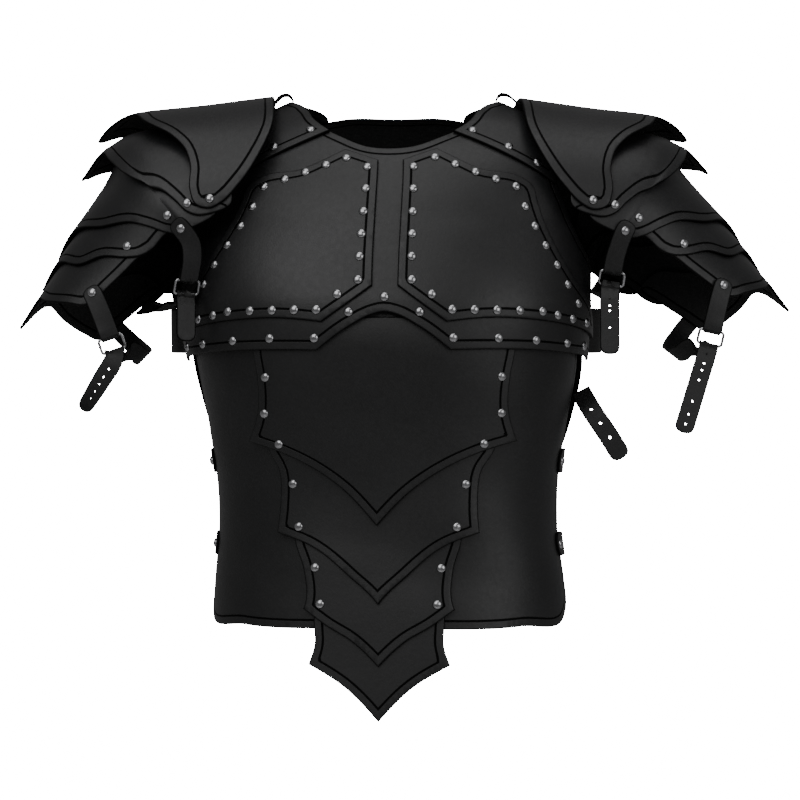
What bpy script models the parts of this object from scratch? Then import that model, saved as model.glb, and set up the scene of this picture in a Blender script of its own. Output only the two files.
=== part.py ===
"""Leather chest armour: belly panel, breastplate with two studded chest panels, four belly lames,
back panel, shoulder yokes and two five-lame shoulder guards with their straps and buckles.

Metres, +Z up. The wearer faces -Y, and +X is the wearer's left. The origin lies between the tops
of the two shoulder yokes, where the armour sits on the wearer's shoulders.

Every leather piece is a flat pattern laid on a form. A form is a smooth surface read on a lattice
of columns and rows, and all the pieces on it share the lattice, so that they nest without touching.
"""

import bpy
import bmesh
import math
from mathutils import Quaternion, Vector

# Driving sizes, in metres.
BODY_HEIGHT = 0.512
CHEST_HALF_WIDTH = 0.200
CHEST_DEPTH = 0.135
BACK_DEPTH = 0.115
LEATHER = 0.003
STRAP_LEATHER = 0.0022
LAYER_GAP = 0.0004
SEAT_GAP = 0.0003
STUD_RADIUS = 0.0045
STUD_HEIGHT = 0.0026
STUD_SUNK = 0.0010
STUD_SIDES = 5
BREASTPLATE_RAISE = 0.0092

CHEST_PANEL_WIDTH = 0.195
CHEST_PANEL_HEIGHT = 0.184
CHEST_PANEL_TOP = 0.0540
LAME_HALF_WIDTH = 0.124
LAME_STEP = 0.093
LAME_TOP = 0.2150

ARM_REACH = 0.373
ARM_DROP = 0.223
GUARD_HALF_DEPTH = 0.096
GUARD_HEIGHT = 0.095
GUARD_SHIFT = 0.004
GUARD_TURN = math.radians(3.0)

ARM_STRAP_WIDTH = 0.019
WAIST_STRAP_WIDTH = 0.024
CHEST_STRAP_WIDTH = 0.044
NECK_LOOP_WIDTH = 0.016
SIDE_TAIL_WIDTH = 0.020
BUCKLE_LENGTH = 0.017
BUCKLE_WIRE = 0.0028
STRAP_CLEARANCE = 0.0029
STRAP_FOLD = 0.012

BODY_COLUMN = math.radians(15)
GUARD_COLUMN = math.radians(20)
FULLNESS = 2.4
SNAP = 0.02

# Body sections from the top of the shoulders down. down: share of BODY_HEIGHT. front_width and
# back_width: shares of CHEST_HALF_WIDTH. front_depth: share of CHEST_DEPTH. back_depth: share of
# BACK_DEPTH. turn: degrees that the section is turned about +Z. lean: sideways shift, as a share
# of CHEST_HALF_WIDTH.
BODY_SECTIONS = (
    # down, front_width, front_depth, back_width, back_depth, turn, lean
    (0.000, 0.490, 0.104, 0.490, 0.226, -2.0, 0.010),
    (0.023, 0.625, 0.252, 0.625, 0.539, -1.8, 0.008),
    (0.055, 0.790, 0.407, 0.780, 0.713, -1.5, 0.005),
    (0.098, 0.915, 0.563, 0.900, 0.835, -1.0, 0.000),
    (0.156, 0.965, 0.711, 0.945, 0.922, -0.5, -0.005),
    (0.234, 0.975, 0.852, 0.955, 0.974, -0.5, -0.015),
    (0.313, 0.975, 0.941, 0.965, 1.000, -0.5, -0.025),
    (0.391, 0.965, 0.993, 0.975, 1.000, -0.5, -0.030),
    (0.459, 0.950, 1.000, 0.975, 0.974, -0.8, -0.030),
    (0.527, 0.925, 0.963, 0.955, 0.930, -1.5, -0.025),
    (0.625, 0.875, 0.896, 0.895, 0.870, -2.8, -0.020),
    (0.723, 0.840, 0.844, 0.815, 0.835, -4.5, -0.018),
    (0.820, 0.838, 0.830, 0.800, 0.835, -5.5, -0.015),
    (0.898, 0.855, 0.844, 0.815, 0.878, -5.5, -0.010),
    (1.000, 0.880, 0.881, 0.845, 0.939, -5.5, -0.005),
    (1.250, 0.950, 0.950, 0.900, 1.000, -5.5, 0.000),
)

# Shoulder guard sections from the neck side down the arm, for a hanging arm. out: share of
# ARM_REACH. down: share of ARM_DROP. tilt: degrees of the section's top away from upright.
# half_depth and forward: shares of GUARD_HALF_DEPTH. height: share of GUARD_HEIGHT.
GUARD_SECTIONS = (
    # out, down, tilt, half_depth, height, forward
    (0.316, 0.030, 14.0, 0.960, 0.926, -0.06),
    (0.501, 0.118, 15.0, 1.000, 1.000, -0.05),
    (0.662, 0.194, 26.0, 0.960, 1.000, 0.00),
    (0.724, 0.275, 42.0, 0.900, 0.926, 0.04),
    (0.773, 0.395, 54.0, 0.833, 0.842, 0.08),
    (0.832, 0.553, 57.5, 0.760, 0.779, 0.12),
    (0.891, 0.712, 57.5, 0.698, 0.716, 0.16),
    (0.946, 0.857, 57.5, 0.646, 0.663, 0.20),
    (1.000, 1.000, 57.5, 0.604, 0.632, 0.23),
    (1.060, 1.160, 57.5, 0.560, 0.600, 0.26),
)
SHOULDER_SECTION = 2
ARM_SETTINGS = {
    # lift: degrees that the arm is held out. spread: metres that the lower sections move out.
    "left": {"side": 1, "lift": 7.5, "spread": -0.008},
    "right": {"side": -1, "lift": 0.0, "spread": -0.0065},
}

# Where each lame of a guard sits. base: lift over the form, in layers of leather. start and tip:
# rows where it begins and where its tip ends. start_flare and tip_flare: further lift of its
# crown, in thicknesses of leather. back_drop: rows by which its back half reaches lower.
GUARD_LAMES = (
    # name, base, start, tip, start_flare, tip_flare, back_drop
    ("crown", 4, 0.00, 2.85, 0.0, 9.5, 0.2),
    ("second", 3, 1.70, 4.15, 0.5, 8.2, 0.6),
    ("third", 2, 2.80, 6.05, 0.0, 1.0, 1.2),
    ("fourth", 1, 4.70, 6.95, 0.0, 1.0, 0.9),
    ("fifth", 0, 5.70, 8.10, 0.0, 1.7, 0.7),
)

# Front half of each lame's outline, from its crown at the neck side round the front end to its
# tip: degrees round the arm from the front, and rows down the guard.
LAME_OUTLINES = {
    "crown": ((100, 0.00), (70, 0.03), (41, 0.17), (25, 0.45), (14, 0.80), (8, 1.15), (7, 1.36),
              (11, 1.60), (18, 1.60), (31, 1.45), (40, 1.45), (50, 1.58), (64, 1.90), (86, 2.12),
              (100, 2.85)),
    "second": ((100, 1.70), (60, 1.30), (30, 1.00), (6, 1.00), (4.5, 1.33), (5.5, 1.66), (9, 1.86),
               (16, 2.02), (23, 2.28), (33, 2.97), (47, 3.25), (60, 3.24), (81, 3.19), (100, 4.15)),
    "third": ((100, 2.80), (50, 2.75), (35, 2.40), (20, 1.70), (2, 1.42), (-3, 3.00), (-1, 3.86),
              (3.5, 4.06), (16, 4.26), (27, 4.41), (47, 4.89), (78, 5.31), (100, 6.05)),
    "fourth": ((100, 4.70), (50, 4.40), (35, 3.90), (20, 3.10), (3, 3.05), (5, 4.30), (5, 4.64),
               (9.5, 4.99), (16, 5.17), (33, 5.46), (46, 5.88), (78, 6.16), (100, 6.95)),
    "fifth": ((100, 5.70), (50, 5.50), (25, 4.65), (10, 4.60), (10.5, 5.24), (14, 6.03),
              (16, 6.45), (20, 6.66), (33, 6.85), (56, 7.11), (79, 7.18), (100, 8.10)),
}
LAME_STUDS = {"crown": (11.5, 1.30), "second": (12.5, 1.74), "third": (11.2, 3.37),
              "fourth": (21, 4.94), "fifth": (20, 6.28)}
CROWN_LINE = 100

# Flat outlines on the front, right half from the centre line. across: share of the named half
# width. down: share of the named height below the named top.
BELLY_LAME_OUTLINE_A = (
    (0.0, 0.00), (0.985, 0.00), (0.990, 0.152), (0.950, 0.283), (0.935, 0.423), (1.000, 0.590),
    (0.778, 0.636), (0.484, 0.725), (0.250, 0.832), (0.0, 1.00))
BELLY_LAME_OUTLINE_B = (
    (0.0, 0.00), (0.822, 0.00), (0.860, 0.160), (0.764, 0.286), (0.744, 0.437), (0.760, 0.602),
    (0.524, 0.661), (0.266, 0.796), (0.0, 1.00))
BELLY_LAME_OUTLINE_C = (
    (0.0, 0.00), (0.640, 0.00), (0.629, 0.195), (0.565, 0.377), (0.563, 0.628), (0.573, 0.647),
    (0.417, 0.712), (0.206, 0.830), (0.0, 1.00))
BELLY_LAME_OUTLINE_D = (
    (0.0, 0.00), (0.500, 0.00), (0.498, 0.200), (0.492, 0.380), (0.540, 0.565), (0.270, 0.735),
    (0.0, 1.00))
BELLY_LAMES = (
    # outline, step from the top, height as a share of LAME_STEP, studs (across, down)
    (BELLY_LAME_OUTLINE_A, 0.00, 2.130, ((0.885, 0.281), (0.884, 0.456), (0.766, 0.603))),
    (BELLY_LAME_OUTLINE_B, 1.00, 2.020, ((0.653, 0.350), (0.594, 0.568))),
    (BELLY_LAME_OUTLINE_C, 2.00, 1.645, ((0.478, 0.355), (0.444, 0.618))),
    (BELLY_LAME_OUTLINE_D, 2.93, 1.238, ()),
)

# The chest panel: across from the centre line and down from its peak, as shares of its size.
CHEST_PANEL_OUTLINE = (
    (0.0600, 0.0650), (0.2256, 0.0000), (0.3282, 0.0600), (0.4308, 0.1090), (0.6256, 0.1400),
    (0.6900, 0.1840), (0.7282, 0.2880), (0.7718, 0.4080), (0.8667, 0.6230), (0.9650, 0.8200),
    (0.9750, 0.9640), (0.9026, 0.9170), (0.7026, 0.8860), (0.4872, 0.8810), (0.2949, 0.9020),
    (0.0605, 0.7220))
CHEST_PANEL_STUDS = (
    # across, down, studs between this one and the next
    (0.114, 0.103, 4), (0.128, 0.695, 1), (0.318, 0.843, 3), (0.728, 0.843, 2), (0.935, 0.888, 2),
    (0.810, 0.602, 3), (0.615, 0.202, 3), (0.218, 0.055, 0))

# The breastplate, in shares of CHEST_HALF_WIDTH and BODY_HEIGHT, and past the front in degrees.
BREASTPLATE_OUTLINE = (
    (0.000, 0.1000), (0.110, 0.0960), (0.250, 0.0760), (0.370, 0.0500), (0.620, 0.0920),
    (0.780, 0.1300), (0.800, 0.1600), (0.850, 0.2080), (0.915, 0.2680), (0.968, 0.3260))
BREASTPLATE_SIDE = ((83, 0.380), (88, 0.405), (87, 0.497))
BREASTPLATE_HEM = (
    (0.940, 0.4880), (0.880, 0.4860), (0.715, 0.4800), (0.309, 0.4800), (0.155, 0.4360),
    (0.060, 0.4170), (0.000, 0.4120))
BREASTPLATE_STUDS = (
    (0.000, 0.3860), (0.165, 0.4120), (0.320, 0.4580), (0.525, 0.4580), (0.695, 0.4610),
    (0.835, 0.4650), (0.915, 0.4690))

# Body pieces in degrees round the body from the front and shares of BODY_HEIGHT.
YOKE_OUTLINE = (
    (17, 0.069), (26, 0.047), (38, 0.024), (55, 0.010), (75, 0.004), (100, 0.004), (125, 0.008),
    (152, 0.015), (146, 0.060), (138, 0.130), (128, 0.098), (116, 0.072), (102, 0.058), (88, 0.054),
    (74, 0.062), (64, 0.084), (57, 0.120), (51, 0.168), (34, 0.121))
YOKE_STUDS = ((24, 0.068), (34, 0.100), (44, 0.131), (146, 0.038), (140, 0.090))
BELLY_PANEL_OUTLINE = (
    (0, 0.372), (40, 0.372), (72, 0.405), (81, 0.520), (82, 0.700), (82, 0.920), (81, 0.975),
    (76, 0.992), (45, 1.000), (0, 1.000))
BACK_PANEL_OUTLINE = (
    (180, 0.019), (160, 0.019), (144, 0.030), (131, 0.100), (128, 0.160), (122, 0.240),
    (113, 0.320), (104, 0.370), (97, 0.405), (96, 0.560), (98, 0.700), (98, 0.920), (99, 0.975),
    (104, 0.992), (135, 1.000), (180, 1.000))
WAIST_STRAPS = {"upper": 0.690, "lower": 0.852}
WAIST_STRAP_FROM = 77
WAIST_STRAP_TO = 112

# The strap under each arm: degrees round the body and lift off the form. It bows out where the
# breastplate and the back panel leave a gap.
CHEST_STRAP_DOWN = 0.437
CHEST_STRAP = ((80, 0.0040), (85, 0.0044), (89.5, 0.0055), (93, 0.0130), (98, 0.0220),
               (104, 0.0220), (112, 0.0120), (118, 0.0055), (124, 0.0044))

# The arm straps: degrees round the arm and rows down the guard, from the riveted front end to the
# buckle, and from the riveted back end under the arm to the buckle.
ARM_STRAP_LAMES = {"upper": "third", "lower": "fifth"}
ARM_STRAP_ROUTES = {
    "upper": ((6, 2.92), (0, 3.05), (-10, 3.45), (-18, 3.80), (-26, 4.10)),
    "lower": ((25, 6.22), (20, 6.30), (6, 6.58), (-4, 6.80), (-13, 7.00)),
}
ARM_TAIL_ROUTES = {
    "upper": ((-172, 4.40), (-163, 4.42), (-155.5, 4.45), (-144, 4.50), (-128, 4.55),
              (-106, 4.60), (-82, 4.65), (-58, 4.60), (-42, 4.45)),
    "lower": ((-184, 6.70), (-180, 6.70), (-160, 6.80), (-130, 6.95), (-95, 7.05), (-60, 7.05),
              (-36, 7.05)),
}
ARM_STRAPS = (
    # side, level, rows that it shifts down under the arm, distance that it is drawn in there,
    # length that hangs free, its direction, turn of its far end in degrees
    ("left", "upper", 0.30, 0.036, 0.062, (0.00, -0.10, -1.00), 0),
    ("left", "lower", 0.00, 0.020, 0.085, (-0.30, -0.10, -0.95), 0),
    ("right", "upper", 1.60, 0.063, 0.040, (0.00, -0.10, -1.00), 0),
    ("right", "lower", 0.00, 0.020, 0.062, (-0.52, -0.10, -0.85), -45),
)

# The strap from each yoke to the crown of the guard: metres outward and up from the yoke's edge,
# then rows under the crown. The degrees round each guard keep the strap straight, seen from above.
NECK_LOOP_FROM = (90, 0.004)
NECK_LOOP_ARCH = ((-0.0030, 0.0007), (0.0010, 0.0060), (0.0060, 0.0058))
NECK_LOOP_ROWS = (0.02, 0.40)
NECK_LOOP_DEGREES = {"left": 80.0, "right": 92.5}
NECK_LOOP_CLEARANCE = {"left": 0.0024, "right": 0.0016}

# The loose strap end at the wearer's left side: metres across, forward and up.
SIDE_TAIL = ((0.1883, 0.0067, -0.2850), (0.1990, -0.0080, -0.3050), (0.2155, -0.0120, -0.3300),
             (0.2290, -0.0120, -0.3520))

for leftover in list(bpy.data.objects):
    bpy.data.objects.remove(leftover, do_unlink=True)


def make_material(name, colour, roughness, metallic):
    material = bpy.data.materials.new(name)
    material.use_nodes = True
    shader = material.node_tree.nodes["Principled BSDF"]
    shader.inputs["Base Color"].default_value = (*colour, 1.0)
    shader.inputs["Roughness"].default_value = roughness
    shader.inputs["Metallic"].default_value = metallic
    return material


BLACK_LEATHER = make_material("black_leather", (0.018, 0.018, 0.019), 0.52, 0.0)
STRAP_BLACK = make_material("strap_leather", (0.012, 0.012, 0.013), 0.60, 0.0)
NICKEL = make_material("nickel", (0.42, 0.42, 0.43), 0.28, 1.0)


def smooth_read(table, column, row):
    """A table's column at a fractional row, on a smooth curve through its values."""
    last = len(table) - 1
    low = min(max(math.floor(row), 0), last - 1)
    share = row - low
    here = table[low][column]
    following = table[low + 1][column]
    before = table[low - 1][column] if low > 0 else 2 * here - following
    after = table[low + 2][column] if low + 2 <= last else 2 * following - here
    slope_here = (following - before) / 2
    slope_next = (after - here) / 2
    cube = share ** 3
    square = share ** 2
    return ((2 * cube - 3 * square + 1) * here + (cube - 2 * square + share) * slope_here
            + (3 * square - 2 * cube) * following + (cube - square) * slope_next)


def row_at(down):
    """The body row at a share of BODY_HEIGHT below the shoulders."""
    last = len(BODY_SECTIONS) - 1
    for low in range(last):
        upper = BODY_SECTIONS[low][0]
        lower = BODY_SECTIONS[low + 1][0]
        if down < lower or low == last - 1:
            return low + (down - upper) / (lower - upper)


def bulge(value, power):
    return math.copysign(abs(value) ** power, value)


def body_point(angle, row):
    """A point of the body form, at an angle from the front towards the wearer's left."""
    front = math.cos(angle) > -1e-9
    width = CHEST_HALF_WIDTH * smooth_read(BODY_SECTIONS, 1 if front else 3, row)
    depth = (CHEST_DEPTH * smooth_read(BODY_SECTIONS, 2, row) if front
             else BACK_DEPTH * smooth_read(BODY_SECTIONS, 4, row))
    x = width * bulge(math.sin(angle), 2 / FULLNESS)
    y = -depth * bulge(math.cos(angle), 2 / FULLNESS)
    turn = math.radians(smooth_read(BODY_SECTIONS, 5, row))
    lean = CHEST_HALF_WIDTH * smooth_read(BODY_SECTIONS, 6, row)
    return Vector((x * math.cos(turn) - y * math.sin(turn) + lean,
                   x * math.sin(turn) + y * math.cos(turn),
                   -BODY_HEIGHT * smooth_read(BODY_SECTIONS, 0, row)))


def guard_section(arm, row):
    """The crown's distance out and up and the section's tilt, for one arm as it is held."""
    out = ARM_REACH * smooth_read(GUARD_SECTIONS, 0, row)
    up = -ARM_DROP * smooth_read(GUARD_SECTIONS, 1, row)
    tilt = math.radians(smooth_read(GUARD_SECTIONS, 2, row))
    held = min(max((row - SHOULDER_SECTION) / 2, 0.0), 1.0)
    lift = math.radians(arm["lift"]) * held
    pivot_out = ARM_REACH * GUARD_SECTIONS[SHOULDER_SECTION][0]
    pivot_up = -ARM_DROP * GUARD_SECTIONS[SHOULDER_SECTION][1]
    run = out - pivot_out
    rise = up - pivot_up
    return (pivot_out + run * math.cos(lift) - rise * math.sin(lift) + arm["spread"] * held,
            pivot_up + run * math.sin(lift) + rise * math.cos(lift), tilt - lift)


def guard_point(arm, angle, row):
    """A point of a shoulder guard's form: angle 0 is the arm's front and 90 degrees its crown."""
    out, up, tilt = guard_section(arm, row)
    half_depth = GUARD_HALF_DEPTH * smooth_read(GUARD_SECTIONS, 3, row)
    forward = GUARD_HALF_DEPTH * smooth_read(GUARD_SECTIONS, 5, row)
    height = GUARD_HEIGHT * smooth_read(GUARD_SECTIONS, 4, row)
    drop = height * (1 - math.sin(angle))
    x = arm["side"] * (out - drop * math.sin(tilt)) + GUARD_SHIFT
    y = -forward - half_depth * math.cos(angle)
    return Vector((x * math.cos(GUARD_TURN) - y * math.sin(GUARD_TURN),
                   x * math.sin(GUARD_TURN) + y * math.cos(GUARD_TURN), up - drop * math.cos(tilt)))


class Form:
    """A surface read on a lattice. Between lattice points it is flat triangles."""

    def __init__(self, point, column, out_sign):
        self.point = point
        self.column = column
        self.out_sign = out_sign
        self.known = {}

    def corner(self, i, j):
        if (i, j) not in self.known:
            small = 0.02
            angle = i * self.column
            along = self.point(angle + small, j) - self.point(angle - small, j)
            down = self.point(angle, j + small) - self.point(angle, j - small)
            normal = down.cross(along).normalized() * self.out_sign
            self.known[(i, j)] = (self.point(angle, j), normal)
        return self.known[(i, j)]

    def place(self, u, v, lift, extra=0.0):
        """The point at lattice place u, v, lifted off the form by lift(i, j) + extra."""
        i = math.floor(u)
        j = math.floor(v)
        across = u - i
        down = v - j
        if across + down <= 1:
            weights = (((i, j), 1 - across - down), ((i + 1, j), across), ((i, j + 1), down))
        else:
            weights = (((i + 1, j + 1), across + down - 1), ((i, j + 1), 1 - across),
                       ((i + 1, j), 1 - down))
        spot = Vector((0, 0, 0))
        for (a, b), weight in weights:
            point, normal = self.corner(a, b)
            spot += weight * (point + (lift(a, b) + extra) * normal)
        return spot

    def normal(self, u, v):
        """The outward direction at a lattice place."""
        i = math.floor(u)
        j = math.floor(v)
        across = u - i
        down = v - j
        total = Vector((0, 0, 0))
        for a, b, weight in ((i, j, (1 - across) * (1 - down)), (i + 1, j, across * (1 - down)),
                             (i, j + 1, (1 - across) * down), (i + 1, j + 1, across * down)):
            total += weight * self.corner(a, b)[1]
        return total.normalized()


BODY = Form(body_point, BODY_COLUMN, 1)
GUARDS = {
    side: Form(lambda angle, row, arm=arm: guard_point(arm, angle, row), GUARD_COLUMN, arm["side"])
    for side, arm in ARM_SETTINGS.items()
}


def new_object(name, mesh_data, material):
    mesh = bpy.data.meshes.new(name)
    bmesh.ops.recalc_face_normals(mesh_data, faces=mesh_data.faces)
    if mesh_data.calc_volume(signed=True) < 0:
        bmesh.ops.reverse_faces(mesh_data, faces=mesh_data.faces)
    mesh_data.to_mesh(mesh)
    mesh_data.free()
    mesh.materials.append(material)
    piece = bpy.data.objects.new(name, mesh)
    bpy.context.scene.collection.objects.link(piece)
    return piece


def cut_pattern(outline):
    """A flat outline in lattice places, cut along the lattice's columns, rows and diagonals."""
    outline = [snapped(u, v) for u, v in outline]
    pattern = bmesh.new()
    pattern.faces.new([pattern.verts.new((u, v, 0)) for u, v in outline])
    pattern.normal_update()
    bmesh.ops.triangulate(pattern, faces=pattern.faces, ngon_method="EAR_CLIP")
    directions = ((1, 0), (0, 1), (1, 1))
    for du, dv in directions:
        reaches = [du * u + dv * v for u, v in outline]
        for line in range(math.ceil(min(reaches)), math.floor(max(reaches)) + 1):
            everything = pattern.verts[:] + pattern.edges[:] + pattern.faces[:]
            normal = Vector((du, dv, 0)).normalized()
            bmesh.ops.bisect_plane(pattern, geom=everything, dist=1e-5, plane_no=normal,
                                   plane_co=normal * line / math.hypot(du, dv))
    inner = [edge for edge in pattern.edges if not edge.is_boundary]
    spare = [edge for edge in inner if not any(on_line(edge, du, dv) for du, dv in directions)]
    bmesh.ops.dissolve_edges(pattern, edges=spare, use_verts=False)
    spare = [vert for vert in pattern.verts if len(vert.link_edges) == 2 and not vert.is_boundary]
    bmesh.ops.dissolve_verts(pattern, verts=spare)
    bmesh.ops.dissolve_degenerate(pattern, dist=1e-3, edges=pattern.edges)
    pattern.normal_update()
    bmesh.ops.triangulate(pattern, faces=pattern.faces, ngon_method="EAR_CLIP")
    return pattern


def snapped(u, v):
    """A lattice place, moved on to a lattice line that it all but lies on."""
    if abs(u - round(u)) < SNAP:
        u = round(u)
    if abs(v - round(v)) < SNAP:
        v = round(v)
    elif abs(u + v - round(u + v)) < SNAP:
        v = round(u + v) - u
    return u, v


def on_line(edge, du, dv):
    """Whether an edge lies along one of the lattice's lines."""
    first, last = (du * vert.co.x + dv * vert.co.y for vert in edge.verts)
    return abs(first - last) < 1e-4 and abs(first - round(first)) < 1e-4


def leather_piece(name, form, outline, lift, thickness=LEATHER, material=BLACK_LEATHER):
    """A flat pattern laid on a form, with a wall of the given thickness."""
    piece = cut_pattern(outline)
    inside = {}
    outside = {}
    skin = piece.faces[:]
    rim = [edge for edge in piece.edges if edge.is_boundary]
    for vert in piece.verts[:]:
        u, v, _ = vert.co
        outside[vert] = piece.verts.new(form.place(u, v, lift, thickness))
        inside[vert] = piece.verts.new(form.place(u, v, lift))
    flat = list(inside)
    for face in skin:
        piece.faces.new([outside[vert] for vert in face.verts])
        piece.faces.new([inside[vert] for vert in reversed(face.verts)])
    for edge in rim:
        a, b = edge.verts
        piece.faces.new((outside[a], outside[b], inside[b]))
        piece.faces.new((outside[a], inside[b], inside[a]))
    bmesh.ops.delete(piece, geom=flat, context="VERTS")
    return new_object(name, piece, material)


def add_studs(piece, places):
    """Domed studs fused into a piece: each place is a point and the direction it faces."""
    if not places:
        return
    studs = bmesh.new()
    for spot, facing in places:
        turn = facing.to_track_quat("Z", "Y")
        rings = []
        for share, rise in ((1.0, -STUD_SUNK), (0.82, 0.6 * STUD_HEIGHT)):
            ring = []
            for k in range(STUD_SIDES):
                angle = k * math.tau / STUD_SIDES
                offset = Vector((STUD_RADIUS * share * math.cos(angle),
                                 STUD_RADIUS * share * math.sin(angle), rise))
                ring.append(studs.verts.new(spot + turn @ offset))
            rings.append(ring)
        top = studs.verts.new(spot + turn @ Vector((0, 0, STUD_HEIGHT)))
        studs.faces.new(list(reversed(rings[0])))
        for k in range(STUD_SIDES):
            n = (k + 1) % STUD_SIDES
            studs.faces.new((rings[0][k], rings[0][n], rings[1][n], rings[1][k]))
            studs.faces.new((rings[1][k], rings[1][n], top))
    fuse(piece, new_object(piece.name + "_studs", studs, NICKEL), "UNION")


def fuse(piece, tool, operation):
    """Joins or cuts a piece with another shape, which stays a hidden guide."""
    tool.hide_render = True
    tool.display_type = "WIRE"
    joining = piece.modifiers.new(tool.name, "BOOLEAN")
    joining.operation = operation
    joining.object = tool
    joining.solver = "EXACT"


def front_place(across, down):
    """A lattice place from a distance across the front and a share of the height down."""
    row = row_at(down)
    width = CHEST_HALF_WIDTH * smooth_read(BODY_SECTIONS, 1, row)
    reaches = [width * bulge(math.sin(i * BODY_COLUMN), 2 / FULLNESS)
               for i in range(round(math.pi / 2 / BODY_COLUMN) + 1)]
    distance = min(abs(across), reaches[-1])
    i = max(k for k in range(len(reaches) - 1) if reaches[k] <= distance)
    column = i + (distance - reaches[i]) / (reaches[i + 1] - reaches[i])
    return math.copysign(column, across), row


def round_place(degrees, down):
    return math.radians(degrees) / BODY_COLUMN, row_at(down)


def both_halves(half):
    """A whole outline from its left half, whose first and last points lie on the centre line."""
    return list(half) + [(-u, v) for u, v in reversed(half) if abs(u) > 1e-9]


def other_side(outline):
    return [(-u, v) for u, v in reversed(outline)]


def flat_lift(amount):
    return lambda i, j: amount


def breastplate_lift(i, j):
    """The breastplate lies on the chest at its top and passes over the first belly lame below."""
    start = row_at(0.234)
    end = row_at(0.391)
    share = min(max((j - start) / (end - start), 0.0), 1.0)
    return BREASTPLATE_RAISE * share


def make_belly_panel():
    half = [round_place(degrees, down) for degrees, down in BELLY_PANEL_OUTLINE]
    leather_piece("belly_panel", BODY, both_halves(half), flat_lift(0.0))


def make_back_panel():
    right_round = [round_place(degrees, down) for degrees, down in BACK_PANEL_OUTLINE]
    middle = math.pi / BODY_COLUMN
    rest = [(2 * middle - u, v) for u, v in reversed(right_round) if abs(u - middle) > 1e-9]
    leather_piece("back_panel", BODY, right_round + rest, flat_lift(0.0))


def lame_lift(step):
    """Each belly lame leans out over the next, by one layer for every step down."""
    slope = (LEATHER + LAYER_GAP) / LAME_STEP
    top = LAME_TOP + step * LAME_STEP

    def lift(i, j):
        depth = BODY_HEIGHT * smooth_read(BODY_SECTIONS, 0, j)
        return LEATHER + LAYER_GAP + slope * (depth - top)

    return lift


def make_belly_lames():
    for number, (outline, step, height, studs) in enumerate(BELLY_LAMES, 1):
        top = LAME_TOP + step * LAME_STEP
        tall = height * LAME_STEP
        lift = lame_lift(step)

        def place(across, down):
            return front_place(across * LAME_HALF_WIDTH, (top + down * tall) / BODY_HEIGHT)

        half = [place(across, down) for across, down in outline]
        piece = leather_piece(f"belly_lame_{number}", BODY, both_halves(half), lift)
        spots = []
        for across, down in studs:
            u, v = place(across, down)
            spots.append((BODY.place(u, v, lift, LEATHER), BODY.normal(u, v)))
            spots.append((BODY.place(-u, v, lift, LEATHER), BODY.normal(-u, v)))
        add_studs(piece, spots)


def make_breastplate():
    half = [front_place(across * CHEST_HALF_WIDTH, down) for across, down in BREASTPLATE_OUTLINE]
    half += [round_place(degrees, down) for degrees, down in BREASTPLATE_SIDE]
    half += [front_place(across * CHEST_HALF_WIDTH, down) for across, down in BREASTPLATE_HEM]
    piece = leather_piece("breastplate", BODY, both_halves(half), breastplate_lift)
    spots = []
    for across, down in BREASTPLATE_STUDS:
        u, v = front_place(across * CHEST_HALF_WIDTH, down)
        for place in {u, -u}:
            spots.append((BODY.place(place, v, breastplate_lift, LEATHER), BODY.normal(place, v)))
    add_studs(piece, sorted(spots, key=lambda spot: spot[0].x))


def chest_panel_lift(i, j):
    return breastplate_lift(i, j) + LEATHER + LAYER_GAP


def make_chest_panels():
    def place(across, down):
        depth = CHEST_PANEL_TOP + down * CHEST_PANEL_HEIGHT
        return front_place(across * CHEST_PANEL_WIDTH, depth / BODY_HEIGHT)

    outline = [place(across, down) for across, down in CHEST_PANEL_OUTLINE]
    studs = []
    for here, following in zip(CHEST_PANEL_STUDS, CHEST_PANEL_STUDS[1:] + CHEST_PANEL_STUDS[:1]):
        for k in range(here[2] + 1):
            share = k / (here[2] + 1)
            studs.append(place(here[0] + share * (following[0] - here[0]),
                               here[1] + share * (following[1] - here[1])))
    for side, shape, places in (("left", outline, studs),
                                ("right", other_side(outline), other_side(studs))):
        piece = leather_piece(f"chest_panel_{side}", BODY, shape, chest_panel_lift)
        add_studs(piece, [(BODY.place(u, v, chest_panel_lift, LEATHER), BODY.normal(u, v))
                          for u, v in places])


def make_yokes():
    over = flat_lift(LEATHER + LAYER_GAP)
    outline = [round_place(degrees, down) for degrees, down in YOKE_OUTLINE]
    studs = [round_place(degrees, down) for degrees, down in YOKE_STUDS]
    for side, shape, places in (("left", outline, studs),
                                ("right", other_side(outline), other_side(studs))):
        piece = leather_piece(f"shoulder_yoke_{side}", BODY, shape, over)
        add_studs(piece, [(BODY.place(u, v, over, LEATHER), BODY.normal(u, v)) for u, v in places])


def guard_lift(base, start, tip, start_flare, tip_flare):
    """How far a lame stands off its guard's form: more at its crown and towards its tip."""
    def lift(i, j):
        crown = max(math.sin(i * GUARD_COLUMN), 0.0) ** 2
        share = (j - start) / (tip - start)
        flare = LEATHER * (start_flare + (tip_flare - start_flare) * share)
        return base * (LEATHER + LAYER_GAP) + flare * crown

    return lift


def back_half(degrees, row, back_drop):
    """The place on the back of a lame that answers to a place on its front."""
    lower = back_drop * math.cos(math.radians(degrees)) ** 2
    return 2 * CROWN_LINE - degrees, row + lower


def guard_place(degrees, row):
    return math.radians(degrees) / GUARD_COLUMN, row


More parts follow.
